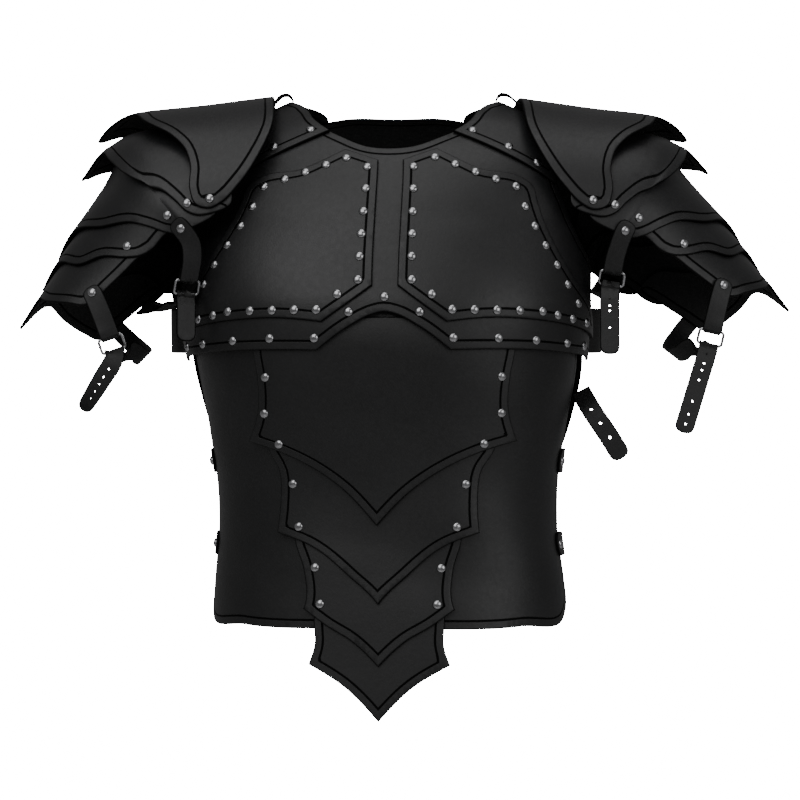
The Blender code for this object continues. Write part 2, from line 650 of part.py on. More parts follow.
def make_guard_lames():
    for side, form in GUARDS.items():
        for name, base, start, tip, start_flare, tip_flare, back_drop in GUARD_LAMES:
            lift = guard_lift(base, start, tip, start_flare, tip_flare)
            front = LAME_OUTLINES[name]
            back = [back_half(degrees, row, back_drop) for degrees, row in reversed(front[1:-1])]
            outline = [guard_place(degrees, row) for degrees, row in list(front) + back]
            piece = leather_piece(f"guard_{side}_{name}", form, outline, lift)
            stud = LAME_STUDS[name]
            spots = []
            for place in (stud, back_half(*stud, back_drop)):
                u, v = guard_place(*place)
                spots.append((form.place(u, v, lift, LEATHER), form.normal(u, v)))
            add_studs(piece, spots)


def ribbon(name, stations, material=STRAP_BLACK):
    """A strap through stations: a point of one face, and its wall and half width as vectors."""
    strap = bmesh.new()
    rings = []
    for spot, wall, across in stations:
        rings.append([strap.verts.new(spot - across), strap.verts.new(spot + across),
                      strap.verts.new(spot + across + wall), strap.verts.new(spot - across + wall)])
    for ring, following in zip(rings, rings[1:]):
        for a in range(4):
            b = (a + 1) % 4
            strap.faces.new((ring[a], ring[b], following[b], following[a]))
    strap.faces.new(list(reversed(rings[0])))
    strap.faces.new(rings[-1])
    return new_object(name, strap, material)


def route_stations(route, width):
    """Stations along a route of points, each with the side that the wall goes to."""
    stations = []
    for k, (spot, facing) in enumerate(route):
        along = route[min(k + 1, len(route) - 1)][0] - route[max(k - 1, 0)][0]
        across = along.cross(facing).normalized()
        wall = across.cross(along).normalized()
        stations.append((spot, wall * STRAP_LEATHER, across * width / 2))
    return stations


def narrow(station, share):
    spot, wall, across = station
    return spot, wall, across * share


class Buckle:
    """Where an arm buckle sits: its rear bar at the end of the front strap, its front bar below."""

    def __init__(self, side, level, shift, draw):
        self.form = GUARDS[side]
        self.level = level
        self.shift = shift
        self.draw = draw
        lame = next(row for row in GUARD_LAMES if row[0] == ARM_STRAP_LAMES[level])
        self.lame_lift = guard_lift(*lame[1:6])
        self.route = [(self.over_lame(*place), self.facing(*place))
                      for place in ARM_STRAP_ROUTES[level]]
        spot, self.out = self.route[-1]
        self.across = (spot - self.route[-2][0]).cross(self.out).normalized()
        self.along = self.out.cross(self.across)
        self.bar_gap = BUCKLE_WIRE / 2 + SEAT_GAP
        self.rear_bar = spot - self.out * self.bar_gap
        self.front_bar = self.rear_bar + self.along * (BUCKLE_LENGTH - BUCKLE_WIRE)

    def over_lame(self, degrees, row, extra=0.0):
        """A point just over the lame's outer face, drawn in towards the arm on its underside."""
        below = max(-math.sin(math.radians(degrees)), 0.0)
        off = LEATHER + STRAP_CLEARANCE + extra - self.draw * max(below - 0.45, 0.0) / 0.55
        place = guard_place(degrees, row + self.shift * below)
        return self.form.place(*place, self.lame_lift, off)

    def facing(self, degrees, row):
        below = max(-math.sin(math.radians(degrees)), 0.0)
        return self.form.normal(*guard_place(degrees, row + self.shift * below))

    def bent(self, bar, towards, out):
        """A station where a strap turns a corner of a bar."""
        corner = towards * self.along + out * self.out
        return (bar + corner * self.bar_gap, corner * STRAP_LEATHER,
                self.across * ARM_STRAP_WIDTH / 2)


def make_arm_strap(name, buckle):
    """The short strap: riveted to the lame, it folds round the buckle's rear bar."""
    stations = route_stations(buckle.route[:-1], ARM_STRAP_WIDTH)
    stations[0] = narrow(stations[0], 0.6)
    before = buckle.rear_bar - buckle.along * 0.006 + buckle.out * buckle.bar_gap
    stations.append((before, buckle.out * STRAP_LEATHER, buckle.across * ARM_STRAP_WIDTH / 2))
    stations.append(buckle.bent(buckle.rear_bar, 1, 1))
    stations.append(buckle.bent(buckle.rear_bar, 1, -1))
    fold_end = buckle.rear_bar - buckle.along * STRAP_FOLD - buckle.out * buckle.bar_gap
    stations.append((fold_end, -buckle.out * STRAP_LEATHER, buckle.across * ARM_STRAP_WIDTH / 2))
    strap = ribbon(name, stations)
    spot, facing = buckle.route[1]
    add_studs(strap, [(spot + facing * STRAP_LEATHER, facing)])


def make_arm_buckle(name, buckle):
    """A plain rectangular frame of square wire."""
    middle = (buckle.rear_bar + buckle.front_bar) / 2
    frame = bmesh.new()
    rings = []
    for grow in (-1, 1):
        half_length = (BUCKLE_LENGTH - BUCKLE_WIRE + grow * BUCKLE_WIRE) / 2
        half_width = (ARM_STRAP_WIDTH + 0.002 + BUCKLE_WIRE + grow * BUCKLE_WIRE) / 2
        for rise in (-1, 1):
            rings.append([frame.verts.new(middle + s * half_length * buckle.along
                                          + w * half_width * buckle.across
                                          + rise * BUCKLE_WIRE / 2 * buckle.out)
                          for s, w in ((-1, -1), (1, -1), (1, 1), (-1, 1))])
    order = (rings[0], rings[1], rings[3], rings[2])
    for ring, following in zip(order, order[1:] + order[:1]):
        for a in range(4):
            b = (a + 1) % 4
            frame.faces.new((ring[a], ring[b], following[b], following[a]))
    new_object(name, frame, NICKEL)


def make_arm_tail(name, buckle, length, hang, turn):
    """The long strap: riveted behind, under the arm, up through the buckle and down in front."""
    route = [(buckle.over_lame(*place, STRAP_LEATHER), -buckle.facing(*place))
             for place in ARM_TAIL_ROUTES[buckle.level]]
    stations = route_stations(route, ARM_STRAP_WIDTH)
    stations[0] = narrow(stations[0], 0.6)
    below = buckle.front_bar + 0.010 * buckle.along - 0.0030 * buckle.out
    stations.append((below, -buckle.out * STRAP_LEATHER, buckle.across * ARM_STRAP_WIDTH / 2))
    stations.append(buckle.bent(buckle.front_bar, -1, -1))
    stations.append(buckle.bent(buckle.front_bar, -1, 1))
    stations.append(buckle.bent(buckle.front_bar, 1, 1))
    down = Vector(hang).normalized()
    start = stations[-1][0] + 0.0035 * buckle.along + 0.003 * buckle.out
    for share, width in ((0.12, 1.0), (0.50, 1.0), (0.90, 1.0), (1.0, 0.35)):
        across = (buckle.across - buckle.across.dot(down) * down).normalized()
        across = Quaternion(down, math.radians(turn * share)) @ across
        wall = across.cross(down)
        stations.append((start + down * length * share, wall * STRAP_LEATHER,
                         across * width * ARM_STRAP_WIDTH / 2))
    strap = ribbon(name, stations)
    spot, facing = route[1]
    add_studs(strap, [(spot, -facing)])


def make_arm_straps():
    for side, level, shift, draw, length, hang, turn in ARM_STRAPS:
        buckle = Buckle(side, level, shift, draw)
        make_arm_strap(f"arm_strap_{side}_{level}", buckle)
        make_arm_buckle(f"arm_buckle_{side}_{level}", buckle)
        make_arm_tail(f"arm_tail_{side}_{level}", buckle, length, hang, turn)


def make_waist_straps():
    """Two short straps a side hold the belly panel to the back panel."""
    over = flat_lift(LEATHER + SEAT_GAP)
    half = WAIST_STRAP_WIDTH / 2 / BODY_HEIGHT
    for level, down in WAIST_STRAPS.items():
        outline = [round_place(WAIST_STRAP_FROM + inward, down + share * half)
                   for inward, share in ((1.5, 1.0), (0.0, 0.6), (0.0, -0.6), (1.5, -1.0))]
        outline += [round_place(WAIST_STRAP_TO, down + share * half) for share in (-1.0, 1.0)]
        stud = round_place(WAIST_STRAP_FROM + 3, down)
        for side, shape, (u, v) in (("left", outline, stud),
                                    ("right", other_side(outline), other_side([stud])[0])):
            strap = leather_piece(f"waist_strap_{side}_{level}", BODY, shape, over,
                                  STRAP_LEATHER, STRAP_BLACK)
            add_studs(strap, [(BODY.place(u, v, over, STRAP_LEATHER), BODY.normal(u, v))])


def make_chest_straps():
    """A wide strap under each arm, from behind the breastplate's end on to the back panel."""
    for side, sign in (("left", 1), ("right", -1)):
        route = []
        for degrees, lift in CHEST_STRAP:
            u, v = round_place(degrees, CHEST_STRAP_DOWN)
            route.append((BODY.place(sign * u, v, flat_lift(lift)), BODY.normal(sign * u, v)))
        ribbon(f"chest_strap_{side}", route_stations(route, CHEST_STRAP_WIDTH))


def make_side_tail():
    """The loose end of a strap that shows below the wearer's left arm."""
    route = [(Vector(spot), Vector((0, -1, 0))) for spot in SIDE_TAIL]
    stations = route_stations(route, SIDE_TAIL_WIDTH)
    stations[-1] = narrow(stations[-1], 0.5)
    ribbon("side_tail_left", stations)


def make_neck_loops():
    """A short strap on each shoulder, from the yoke up over a gap and in under the guard."""
    for side, sign in (("left", 1), ("right", -1)):
        guard = GUARDS[side]
        crown = GUARD_LAMES[0]
        crown_lift = guard_lift(*crown[1:6])
        edge = BODY.place(*round_place(sign * NECK_LOOP_FROM[0], NECK_LOOP_FROM[1]),
                          flat_lift(2 * LEATHER + LAYER_GAP))
        route = [(edge + Vector((sign * across, 0, up)), Vector((0, 0, 1)))
                 for across, up in NECK_LOOP_ARCH]
        for row in NECK_LOOP_ROWS:
            place = guard_place(NECK_LOOP_DEGREES[side], row)
            spot = guard.place(*place, crown_lift, -STRAP_LEATHER - NECK_LOOP_CLEARANCE[side])
            route.append((spot, guard.normal(*place)))
        ribbon(f"neck_loop_{side}", route_stations(route, NECK_LOOP_WIDTH))


make_belly_panel()
make_back_panel()
make_belly_lames()
make_breastplate()
make_chest_panels()
make_yokes()
make_guard_lames()
make_arm_straps()
make_waist_straps()
make_chest_straps()
make_side_tail()
make_neck_loops()
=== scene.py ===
"""Looks for the leather chest armour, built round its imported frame.

Metres, +Z up, the wearer faces -Y. Each section makes one piece or group of pieces, in the order in
which they are put together, and holds what that piece needs.
"""

import math

import bmesh
import bpy
import numpy as np
from mathutils import Matrix, Vector


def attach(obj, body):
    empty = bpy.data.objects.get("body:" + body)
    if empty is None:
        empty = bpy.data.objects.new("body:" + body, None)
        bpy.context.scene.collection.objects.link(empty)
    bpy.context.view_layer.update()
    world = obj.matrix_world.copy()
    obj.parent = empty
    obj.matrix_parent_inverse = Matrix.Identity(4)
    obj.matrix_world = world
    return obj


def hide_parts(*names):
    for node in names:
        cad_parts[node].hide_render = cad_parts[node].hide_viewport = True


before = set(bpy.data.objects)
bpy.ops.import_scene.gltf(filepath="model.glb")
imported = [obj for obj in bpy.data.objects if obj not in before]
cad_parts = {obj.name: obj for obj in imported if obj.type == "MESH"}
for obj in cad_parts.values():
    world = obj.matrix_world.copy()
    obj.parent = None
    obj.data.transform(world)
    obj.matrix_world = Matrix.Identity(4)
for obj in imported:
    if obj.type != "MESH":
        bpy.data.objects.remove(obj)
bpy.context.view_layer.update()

# Belly panel. The plain front panel from under the breastplate to the hem, one sheet of 3 mm leather
# dyed black, its edges rounded, with a tooled line 8 mm inside its sides and hem. Painted shade darkens
# the rounded edges and the tooled line.
# It is laid on a form, a smooth surface of angle round the body and row down it.
BODY_HEIGHT = 0.512
CHEST_HALF_WIDTH = 0.200
CHEST_DEPTH = 0.135
BACK_DEPTH = 0.115
FULLNESS = 2.4
LEATHER = 0.003
LAYER_GAP = 0.0004
OUTLINE_STEP = 0.003
GRID = 0.006
WAVE = 0.0005
SHARP_ANGLE = math.radians(48)

BODY_SECTIONS = (
    # down, front_width, front_depth, back_width, back_depth, turn, lean
    (0.000, 0.490, 0.104, 0.490, 0.226, -2.0, 0.010),
    (0.023, 0.625, 0.252, 0.625, 0.539, -1.8, 0.008),
    (0.055, 0.790, 0.407, 0.780, 0.713, -1.5, 0.005),
    (0.098, 0.915, 0.563, 0.900, 0.835, -1.0, 0.000),
    (0.156, 0.965, 0.711, 0.945, 0.922, -0.5, -0.005),
    (0.234, 0.975, 0.852, 0.955, 0.974, -0.5, -0.015),
    (0.313, 0.975, 0.941, 0.965, 1.000, -0.5, -0.025),
    (0.391, 0.965, 0.993, 0.975, 1.000, -0.5, -0.030),
    (0.459, 0.950, 1.000, 0.975, 0.974, -0.8, -0.030),
    (0.527, 0.925, 0.963, 0.955, 0.930, -1.5, -0.025),
    (0.625, 0.875, 0.896, 0.895, 0.870, -2.8, -0.020),
    (0.723, 0.840, 0.844, 0.815, 0.835, -4.5, -0.018),
    (0.820, 0.838, 0.830, 0.800, 0.835, -5.5, -0.015),
    (0.898, 0.855, 0.844, 0.815, 0.878, -5.5, -0.010),
    (1.000, 0.880, 0.881, 0.845, 0.939, -5.5, -0.005),
    (1.250, 0.950, 0.950, 0.900, 1.000, -5.5, 0.000),
)

# Rings inside every cut edge: distance from the edge, height and how much painted shade darkens it, from 0
# to 1.
EDGE_ROUND = ((0.0000, -0.0010, 1.0), (0.0005, -0.0003, 0.8), (0.0014, 0.0, 0.0))
# The tooled line's start, depth, rise and end inside the edge, and how far the shader looks. The shader
# presses the line in with a bump and darkens it with painted shade.
GROOVE = (0.0070, 0.0075, 0.0088, 0.0093)
FAR = 0.02

BELLY_PANEL_OUTLINE = (
    # degrees, down, sharp, tooled
    (0, 0.372, 0, 0), (40, 0.372, 0, 0), (72, 0.405, 1, 0), (81, 0.520, 0, 1), (82, 0.700, 0, 1),
    (82, 0.920, 0, 1), (81, 0.975, 0, 1), (76, 0.992, 0, 1), (45, 1.000, 0, 1), (0, 1.000, 0, 1))


def read(table, column, rows):
    """A table's column at fractional rows, on a smooth curve through its values."""
    values = np.array([line[column] for line in table], float)
    last = len(values) - 1
    low = np.clip(np.floor(rows).astype(int), 0, last - 1)
    share = rows - low
    here = values[low]
    following = values[low + 1]
    before = np.where(low > 0, values[np.maximum(low - 1, 0)], 2 * here - following)
    after = np.where(low + 2 <= last, values[np.minimum(low + 2, last)], 2 * following - here)
    cube = share ** 3
    square = share ** 2
    return ((2 * cube - 3 * square + 1) * here + (cube - 2 * square + share) * (following - before) / 2
            + (3 * square - 2 * cube) * following + (cube - square) * (after - here) / 2)


def eased(share, run, start, end, start_slope, end_slope):
    """A smooth curve from start to end over a run, at a share of it."""
    cube = share ** 3
    square = share ** 2
    return ((2 * cube - 3 * square + 1) * start + (3 * square - 2 * cube) * end
            + (cube - 2 * square + share) * run * start_slope + (cube - square) * run * end_slope)


def bulge(value, power):
    return np.sign(value) * np.abs(value) ** power


def row_at(down):
    """The body row at a share of BODY_HEIGHT below the shoulders."""
    downs = [line[0] for line in BODY_SECTIONS]
    return float(np.interp(down, downs, range(len(downs))))


def around(degrees):
    """The body form's first value: even across the front, where an angle would crowd."""
    return bulge(math.radians(degrees), 2 / FULLNESS)


def body_spot(round_value, row):
    """Points of the body form, from the front towards the wearer's left."""
    angle = bulge(round_value, FULLNESS / 2)
    front = np.cos(angle) > -1e-9
    width = CHEST_HALF_WIDTH * np.where(front, read(BODY_SECTIONS, 1, row), read(BODY_SECTIONS, 3, row))
    depth = np.where(front, CHEST_DEPTH * read(BODY_SECTIONS, 2, row),
                     BACK_DEPTH * read(BODY_SECTIONS, 4, row))
    x = width * bulge(np.sin(angle), 2 / FULLNESS)
    y = -depth * bulge(np.cos(angle), 2 / FULLNESS)
    turn = np.radians(read(BODY_SECTIONS, 5, row))
    lean = CHEST_HALF_WIDTH * read(BODY_SECTIONS, 6, row)
    return np.stack([x * np.cos(turn) - y * np.sin(turn) + lean, x * np.sin(turn) + y * np.cos(turn),
                     -BODY_HEIGHT * read(BODY_SECTIONS, 0, row)], axis=-1)


def unit(vectors):
    return vectors / np.maximum(np.linalg.norm(vectors, axis=-1, keepdims=True), 1e-12)


class Form:
    """A surface of two values, here angle and row, with an outward side."""

    small = 0.01

    def __init__(self, spot, sign, scale, wave):
        self.spot = spot
        self.sign = sign
        self.scale = scale
        self.wave = wave

    def slopes(self, a, r):
        small = self.small
        along = (self.spot(a + small, r) - self.spot(a - small, r)) / (2 * small)
        down = (self.spot(a, r + small) - self.spot(a, r - small)) / (2 * small)
        return along, down

    def normal(self, a, r):
        along, down = self.slopes(a, r)
        return unit(np.cross(down, along)) * self.sign

    def place(self, a, r, lift):
        """Points lifted off the form. A faint wave in the form shows the leather's hand forming."""
        a = np.asarray(a, float)
        r = np.asarray(r, float)
        ripple = self.wave * (np.sin(3.1 * a + 1.7 * r) + np.sin(5.3 * a - 2.3 * r + 1.0))
        return self.spot(a, r) + self.normal(a, r) * np.reshape(lift + ripple, a.shape + (1,))

    def seat(self, a, r, lift):
        """One point lifted off the form, and the way that the form faces there."""
        a = np.array([a])
        r = np.array([r])
        return self.place(a, r, lift)[0], self.normal(a, r)[0]


BODY = Form(body_spot, 1, (0.19, 0.035), WAVE)


def curved(form, outline):
    """A closed outline through table rows, smooth except at the sharp ones: a, r and tooled."""
    table = np.array([(a, r) for a, r, _, _ in outline], float)
    sharp = [line[2] for line in outline]
    tooled = [line[3] for line in outline]
    spots = form.spot(table[:, 0], table[:, 1])
    count = len(table)
    following = np.roll(np.arange(count), -1)
    reach = np.maximum(np.linalg.norm(spots[following] - spots, axis=1), 1e-6)
    chord = (table[following] - table) / reach[:, None]
    middle = np.empty_like(table)
    for k in range(count):
        a = reach[k - 1]
        b = reach[k]
        middle[k] = (chord[k - 1] * b + chord[k] * a) / (a + b)
    places = []
    for k in range(count):
        n = (k + 1) % count
        start = middle[k]
        end = middle[n]
        if sharp[k] and sharp[n]:
            start = end = chord[k]
        elif sharp[k]:
            start = 1.5 * chord[k] - 0.5 * end
        elif sharp[n]:
            end = 1.5 * chord[k] - 0.5 * start
        steps = max(int(round(reach[k] / OUTLINE_STEP)), 1)
        for step in range(steps):
            t = step / steps
            spot = eased(t, reach[k], table[k], table[n], start, end)
            places.append((spot[0], spot[1], tooled[k] + (tooled[n] - tooled[k]) * t))
    return np.array(places)


def inward(form, places):
    """For each outline place, the step in a and r that goes one metre in from the edge."""
    a = places[:, 0]
    r = places[:, 1]
    spots = form.spot(a, r)
    along, down = form.slopes(a, r)
    normal = unit(np.cross(along, down))
    next_a = np.roll(a, -1)
    next_r = np.roll(r, -1)
    turning = np.sign(np.sum(a * next_r - next_a * r))
    ahead = unit(np.roll(spots, -1, axis=0) - spots)
    out_side = turning * np.cross(normal, ahead)
    in_side = np.roll(out_side, 1, axis=0)
    mitre = 1 + np.sum(out_side * in_side, axis=1, keepdims=True)
    step = (out_side + in_side) / np.maximum(mitre, 0.3)
    aa = np.sum(along * along, axis=1)
    rr = np.sum(down * down, axis=1)
    ar = np.sum(along * down, axis=1)
    sa = np.sum(along * step, axis=1)
    sr = np.sum(down * step, axis=1)
    whole = np.maximum(aa * rr - ar * ar, 1e-16)
    return np.stack([(rr * sa - ar * sr) / whole, (aa * sr - ar * sa) / whole], axis=1)


def cut_lines(pattern, faces, spacing):
    """Cuts faces of a flat pattern along a grid, so that they can follow a curved form."""
    for axis in (0, 1):
        values = [vert.co[axis] for face in faces for vert in face.verts]
        step = spacing[axis]
        for line in range(math.ceil(min(values) / step), math.floor(max(values) / step) + 1):
            inner = [face for face in faces if face.is_valid]
            edges = {edge for face in inner for edge in face.edges}
            verts = {vert for face in inner for vert in face.verts}
            normal = Vector((1 - axis, axis, 0))
            cut = bmesh.ops.bisect_plane(pattern, geom=inner + list(edges) + list(verts), dist=1e-6,
                                         plane_co=normal * line * step, plane_no=normal)
            faces = [part for part in cut["geom"] if isinstance(part, bmesh.types.BMFace)]


def punch(pattern, centre, radius, sides=12):
    """A round hole through a flat pattern."""
    spot = Vector((centre[0], centre[1], 0))
    normals = [Vector((math.cos(math.tau * k / sides), math.sin(math.tau * k / sides), 0))
               for k in range(sides)]
    reach = max(3.4 * radius, 0.0055)

    def near():
        return [face for face in pattern.faces
                if (face.calc_center_median() - spot).length < reach]

    for normal in normals:
        faces = near()
        edges = {edge for face in faces for edge in face.edges}
        verts = {vert for face in faces for vert in face.verts}
        bmesh.ops.bisect_plane(pattern, geom=faces + list(edges) + list(verts), dist=1e-7,
                               plane_co=spot + normal * radius, plane_no=normal)
    gone = [face for face in near()
            if all((face.calc_center_median() - spot).dot(normal) < radius for normal in normals)]
    bmesh.ops.delete(pattern, geom=gone, context="FACES")


def edge_distance(spots, line, wanted):
    """How far each spot lies from the wanted stretches of a closed line."""
    start = line[wanted]
    run = np.roll(line, -1, axis=0)[wanted] - start
    nearest = np.full(len(spots), 1.0)
    if not len(start):
        return nearest
    length = np.maximum(np.sum(run * run, axis=1), 1e-12)
    for first in range(0, len(spots), 2000):
        part = spots[first:first + 2000, None, :] - start[None]
        share = np.clip(np.sum(part * run, axis=2) / length, 0, 1)
        gaps = np.linalg.norm(part - share[..., None] * run, axis=2)
        nearest[first:first + 2000] = gaps.min(axis=1)
    return nearest


def leather(name, form, outline, lift, thickness, spacing, materials, holes=()):
    """A leather piece: a flat pattern with its edge rings, cut to a grid, given a wall and laid on."""
    places = curved(form, outline)
    step = inward(form, places)
    scale = np.array(form.scale)
    pattern = bmesh.new()
    height = pattern.verts.layers.float.new("height")
    # Painted shade along the rounded edges, one value a vertex, by which the leather shader darkens them.
    edge_shade = pattern.verts.layers.float.new("edge_shade")
    edge = pattern.verts.layers.float.new("edge")
    rings = []
    for distance, rise, painted_shade in EDGE_ROUND:
        ring = []
        for spot in (places[:, :2] + step * distance) * scale:
            vert = pattern.verts.new((*spot, 0))
            vert[height] = rise
            vert[edge_shade] = painted_shade
            ring.append(vert)
        rings.append(ring)
    for outer, inner in zip(rings, rings[1:]):
        for k in range(len(outer)):
            n = (k + 1) % len(outer)
            pattern.faces.new((outer[k], outer[n], inner[n], inner[k]))
    middle = pattern.faces.new(rings[-1])
    pattern.normal_update()
    middle_faces = bmesh.ops.triangulate(pattern, faces=[middle], ngon_method="EAR_CLIP")["faces"]
    cut_lines(pattern, middle_faces, (spacing, spacing))
    pattern.normal_update()
    for s, t, radius in holes:
        punch(pattern, (s, t), radius)
    pattern.normal_update()
    bmesh.ops.triangulate(pattern, faces=pattern.faces[:], quad_method="BEAUTY", ngon_method="BEAUTY")
    wall = bmesh.ops.extrude_face_region(pattern, geom=pattern.faces[:])
    top = {part for part in wall["geom"] if isinstance(part, bmesh.types.BMVert)}
    verts = pattern.verts[:]
    a = np.array([vert.co.x for vert in verts]) / scale[0]
    r = np.array([vert.co.y for vert in verts]) / scale[1]
    up = np.array([thickness + vert[height] if vert in top else 0.0 for vert in verts])
    spots = form.place(a, r, lift(a, r) + up)
    tooled = edge_distance(form.spot(a, r), form.spot(places[:, 0], places[:, 1]), places[:, 2] > 0.5)
    for vert, spot, distance in zip(verts, spots, tooled):
        vert.co = spot
        vert[edge] = distance
    for face in pattern.faces:
        face.smooth = True
        face.material_index = 0 if any(vert in top for vert in face.verts) else 1
    bmesh.ops.recalc_face_normals(pattern, faces=pattern.faces[:])
    if pattern.calc_volume(signed=True) < 0:
        bmesh.ops.reverse_faces(pattern, faces=pattern.faces[:])
    return finished(name, pattern, materials)


def finished(name, shape, materials):
    mesh = bpy.data.meshes.new(name)
    shape.to_mesh(mesh)
    shape.free()
    for material in materials:
        mesh.materials.append(material)
    mesh.set_sharp_from_angle(angle=SHARP_ANGLE)
    piece = bpy.data.objects.new(name, mesh)
    bpy.context.scene.collection.objects.link(piece)
    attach(piece, "root")
    return piece


def add_node(tree, kind, **inputs):
    """A shader node with its inputs set. An underscore in a name stands for a space."""
    node = tree.nodes.new(kind)
    for name, value in inputs.items():
        node.inputs[name.replace("_", " ")].default_value = value
    return node


def attribute(tree, name):
    node = tree.nodes.new("ShaderNodeAttribute")
    node.attribute_name = name
    return node


def colour_ramp(tree, low, high):
    """A ramp between two colours, each given with its position."""
    node = tree.nodes.new("ShaderNodeValToRGB")
    for stop, (position, colour) in zip(node.color_ramp.elements, (low, high)):
        stop.position = position
        stop.color = (*colour, 1)
    return node


def leather_material(name, colour, lit, rough, grain):
    """Dyed leather: soft colour changes, fine grain, tooled lines, and painted shade darkening the rounded
    edges and the tooled lines.
    """
    material = bpy.data.materials.new(name)
    material.use_nodes = True
    tree = material.node_tree
    link = tree.links.new
    shader = tree.nodes["Principled BSDF"]
    coordinates = tree.nodes.new("ShaderNodeTexCoord")
    cloud = add_node(tree, "ShaderNodeTexNoise", Scale=14, Detail=5, Roughness=0.62)
    pores = add_node(tree, "ShaderNodeTexVoronoi", Scale=700)
    creases = add_node(tree, "ShaderNodeTexNoise", Scale=210, Detail=6)
    for node in (cloud, pores, creases):
        link(coordinates.outputs["Object"], node.inputs["Vector"])
    tint = colour_ramp(tree, (0.32, colour), (0.70, lit))
    link(cloud.outputs["Fac"], tint.inputs["Fac"])
    # Painted shade: along the rounded edges from their layer, and in the tooled lines from the distance
    # inside the edge.
    edge_shade = attribute(tree, "edge_shade")
    edge = attribute(tree, "edge")
    reach = add_node(tree, "ShaderNodeMapRange", From_Max=FAR)
    link(edge.outputs["Fac"], reach.inputs["Value"])
    groove = colour_ramp(tree, (0, (0, 0, 0)), (1, (0, 0, 0)))
    for distance, tone in zip(GROOVE, (0, 1, 1, 0)):
        stop = groove.color_ramp.elements.new(distance / FAR)
        stop.color = (tone, tone, tone, 1)
    link(reach.outputs["Result"], groove.inputs["Fac"])
    # The stronger of the two is how much painted shade darkens the leather here.
    shade_amount = tree.nodes.new("ShaderNodeMath")
    shade_amount.operation = "MAXIMUM"
    link(edge_shade.outputs["Fac"], shade_amount.inputs[0])
    link(groove.outputs["Color"], shade_amount.inputs[1])
    # A mix node's colour sockets go by number: 6 and 7 in, 2 out.
    # This mix paints the shade in, near black, and the shine below turns the highlights down in it.
    painted_shade = tree.nodes.new("ShaderNodeMix")
    painted_shade.data_type = "RGBA"
    painted_shade.inputs[7].default_value = (0.002, 0.002, 0.002, 1)
    link(shade_amount.outputs["Value"], painted_shade.inputs["Factor"])
    link(tint.outputs["Color"], painted_shade.inputs[6])
    link(painted_shade.outputs[2], shader.inputs["Base Color"])
    shine = add_node(tree, "ShaderNodeMapRange", To_Min=0.42, To_Max=0.02)
    link(shade_amount.outputs["Value"], shine.inputs["Value"])
    link(shine.outputs["Result"], shader.inputs["Specular IOR Level"])
    gloss = add_node(tree, "ShaderNodeMapRange", From_Min=0.3, From_Max=0.7,
                     To_Min=rough - 0.03, To_Max=rough + 0.04)
    link(creases.outputs["Fac"], gloss.inputs["Value"])
    link(gloss.outputs["Result"], shader.inputs["Roughness"])
    fine = add_node(tree, "ShaderNodeBump", Strength=grain, Distance=0.0003)
    link(pores.outputs["Distance"], fine.inputs["Height"])
    coarse = add_node(tree, "ShaderNodeBump", Strength=grain, Distance=0.0006)
    link(creases.outputs["Fac"], coarse.inputs["Height"])
    link(fine.outputs["Normal"], coarse.inputs["Normal"])
    pressed = add_node(tree, "ShaderNodeBump", Strength=1.0, Distance=0.0012)
    pressed.invert = True
    link(groove.outputs["Color"], pressed.inputs["Height"])
    link(coarse.outputs["Normal"], pressed.inputs["Normal"])
    link(pressed.outputs["Normal"], shader.inputs["Normal"])
    return material


BLACK_LEATHER = leather_material("black_leather", (0.0045, 0.0045, 0.0048),
                                 (0.0085, 0.0085, 0.0090), 0.44, 0.14)
FLESH_SIDE = leather_material("flesh_side", (0.003, 0.003, 0.003), (0.005, 0.005, 0.005), 0.85, 0.40)
LEATHERS = (BLACK_LEATHER, FLESH_SIDE)


def on_body(table):
    """Table rows of degrees and share down, as places on the body form."""
    return [(around(degrees), row_at(down), sharp, tooled)
            for degrees, down, sharp, tooled in table]


def both_sides(half):
    """A whole outline from its left half, which starts and ends on the centre line."""
    return list(half) + [(-a, r, sharp, tooled) for a, r, sharp, tooled in reversed(half)
                         if abs(a) > 1e-9]


def level(amount):
    return lambda a, r: amount + 0 * a


belly_panel = leather("belly_panel_leather", BODY, both_sides(on_body(BELLY_PANEL_OUTLINE)),
                      level(0.0), LEATHER, GRID, LEATHERS)
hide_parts("belly_panel")

# Belly lames. Four pointed plates of the same leather, each tucked under the one above and riveted
# at its sides, so that they slide as the wearer bends. A tooled line follows every free edge.
# The rivets are domed nickel caps 9 mm wide.
LAME_HALF_WIDTH = 0.124
LAME_STEP = 0.093
LAME_TOP = 0.2150
STUD_RADIUS = 0.0045
STUD_HEIGHT = 0.0026
STUD_UNDERSIDE = 0.14

LAME_OUTLINE_A = (
    # across, down, sharp, tooled
    (0.0, 0.00, 0, 0), (0.985, 0.00, 1, 0), (0.990, 0.152, 0, 1), (0.950, 0.283, 0, 1),
    (0.935, 0.423, 0, 1), (1.000, 0.590, 1, 1), (0.778, 0.636, 0, 1), (0.484, 0.725, 0, 1),
    (0.250, 0.832, 0, 1), (0.0, 1.00, 1, 1))
LAME_OUTLINE_B = (
    (0.0, 0.00, 0, 0), (0.822, 0.00, 1, 0), (0.860, 0.160, 0, 1), (0.764, 0.286, 0, 1),
    (0.744, 0.437, 0, 1), (0.760, 0.602, 1, 1), (0.524, 0.661, 0, 1), (0.266, 0.796, 0, 1),
    (0.0, 1.00, 1, 1))
LAME_OUTLINE_C = (
    (0.0, 0.00, 0, 0), (0.640, 0.00, 1, 0), (0.629, 0.195, 0, 1), (0.565, 0.377, 0, 1),
    (0.563, 0.628, 0, 1), (0.573, 0.647, 1, 1), (0.417, 0.712, 0, 1), (0.206, 0.830, 0, 1),
    (0.0, 1.00, 1, 1))
LAME_OUTLINE_D = (
    (0.0, 0.00, 0, 0), (0.500, 0.00, 1, 0), (0.498, 0.200, 0, 1), (0.492, 0.380, 0, 1),
    (0.540, 0.565, 1, 1), (0.270, 0.735, 0, 1), (0.0, 1.00, 1, 1))
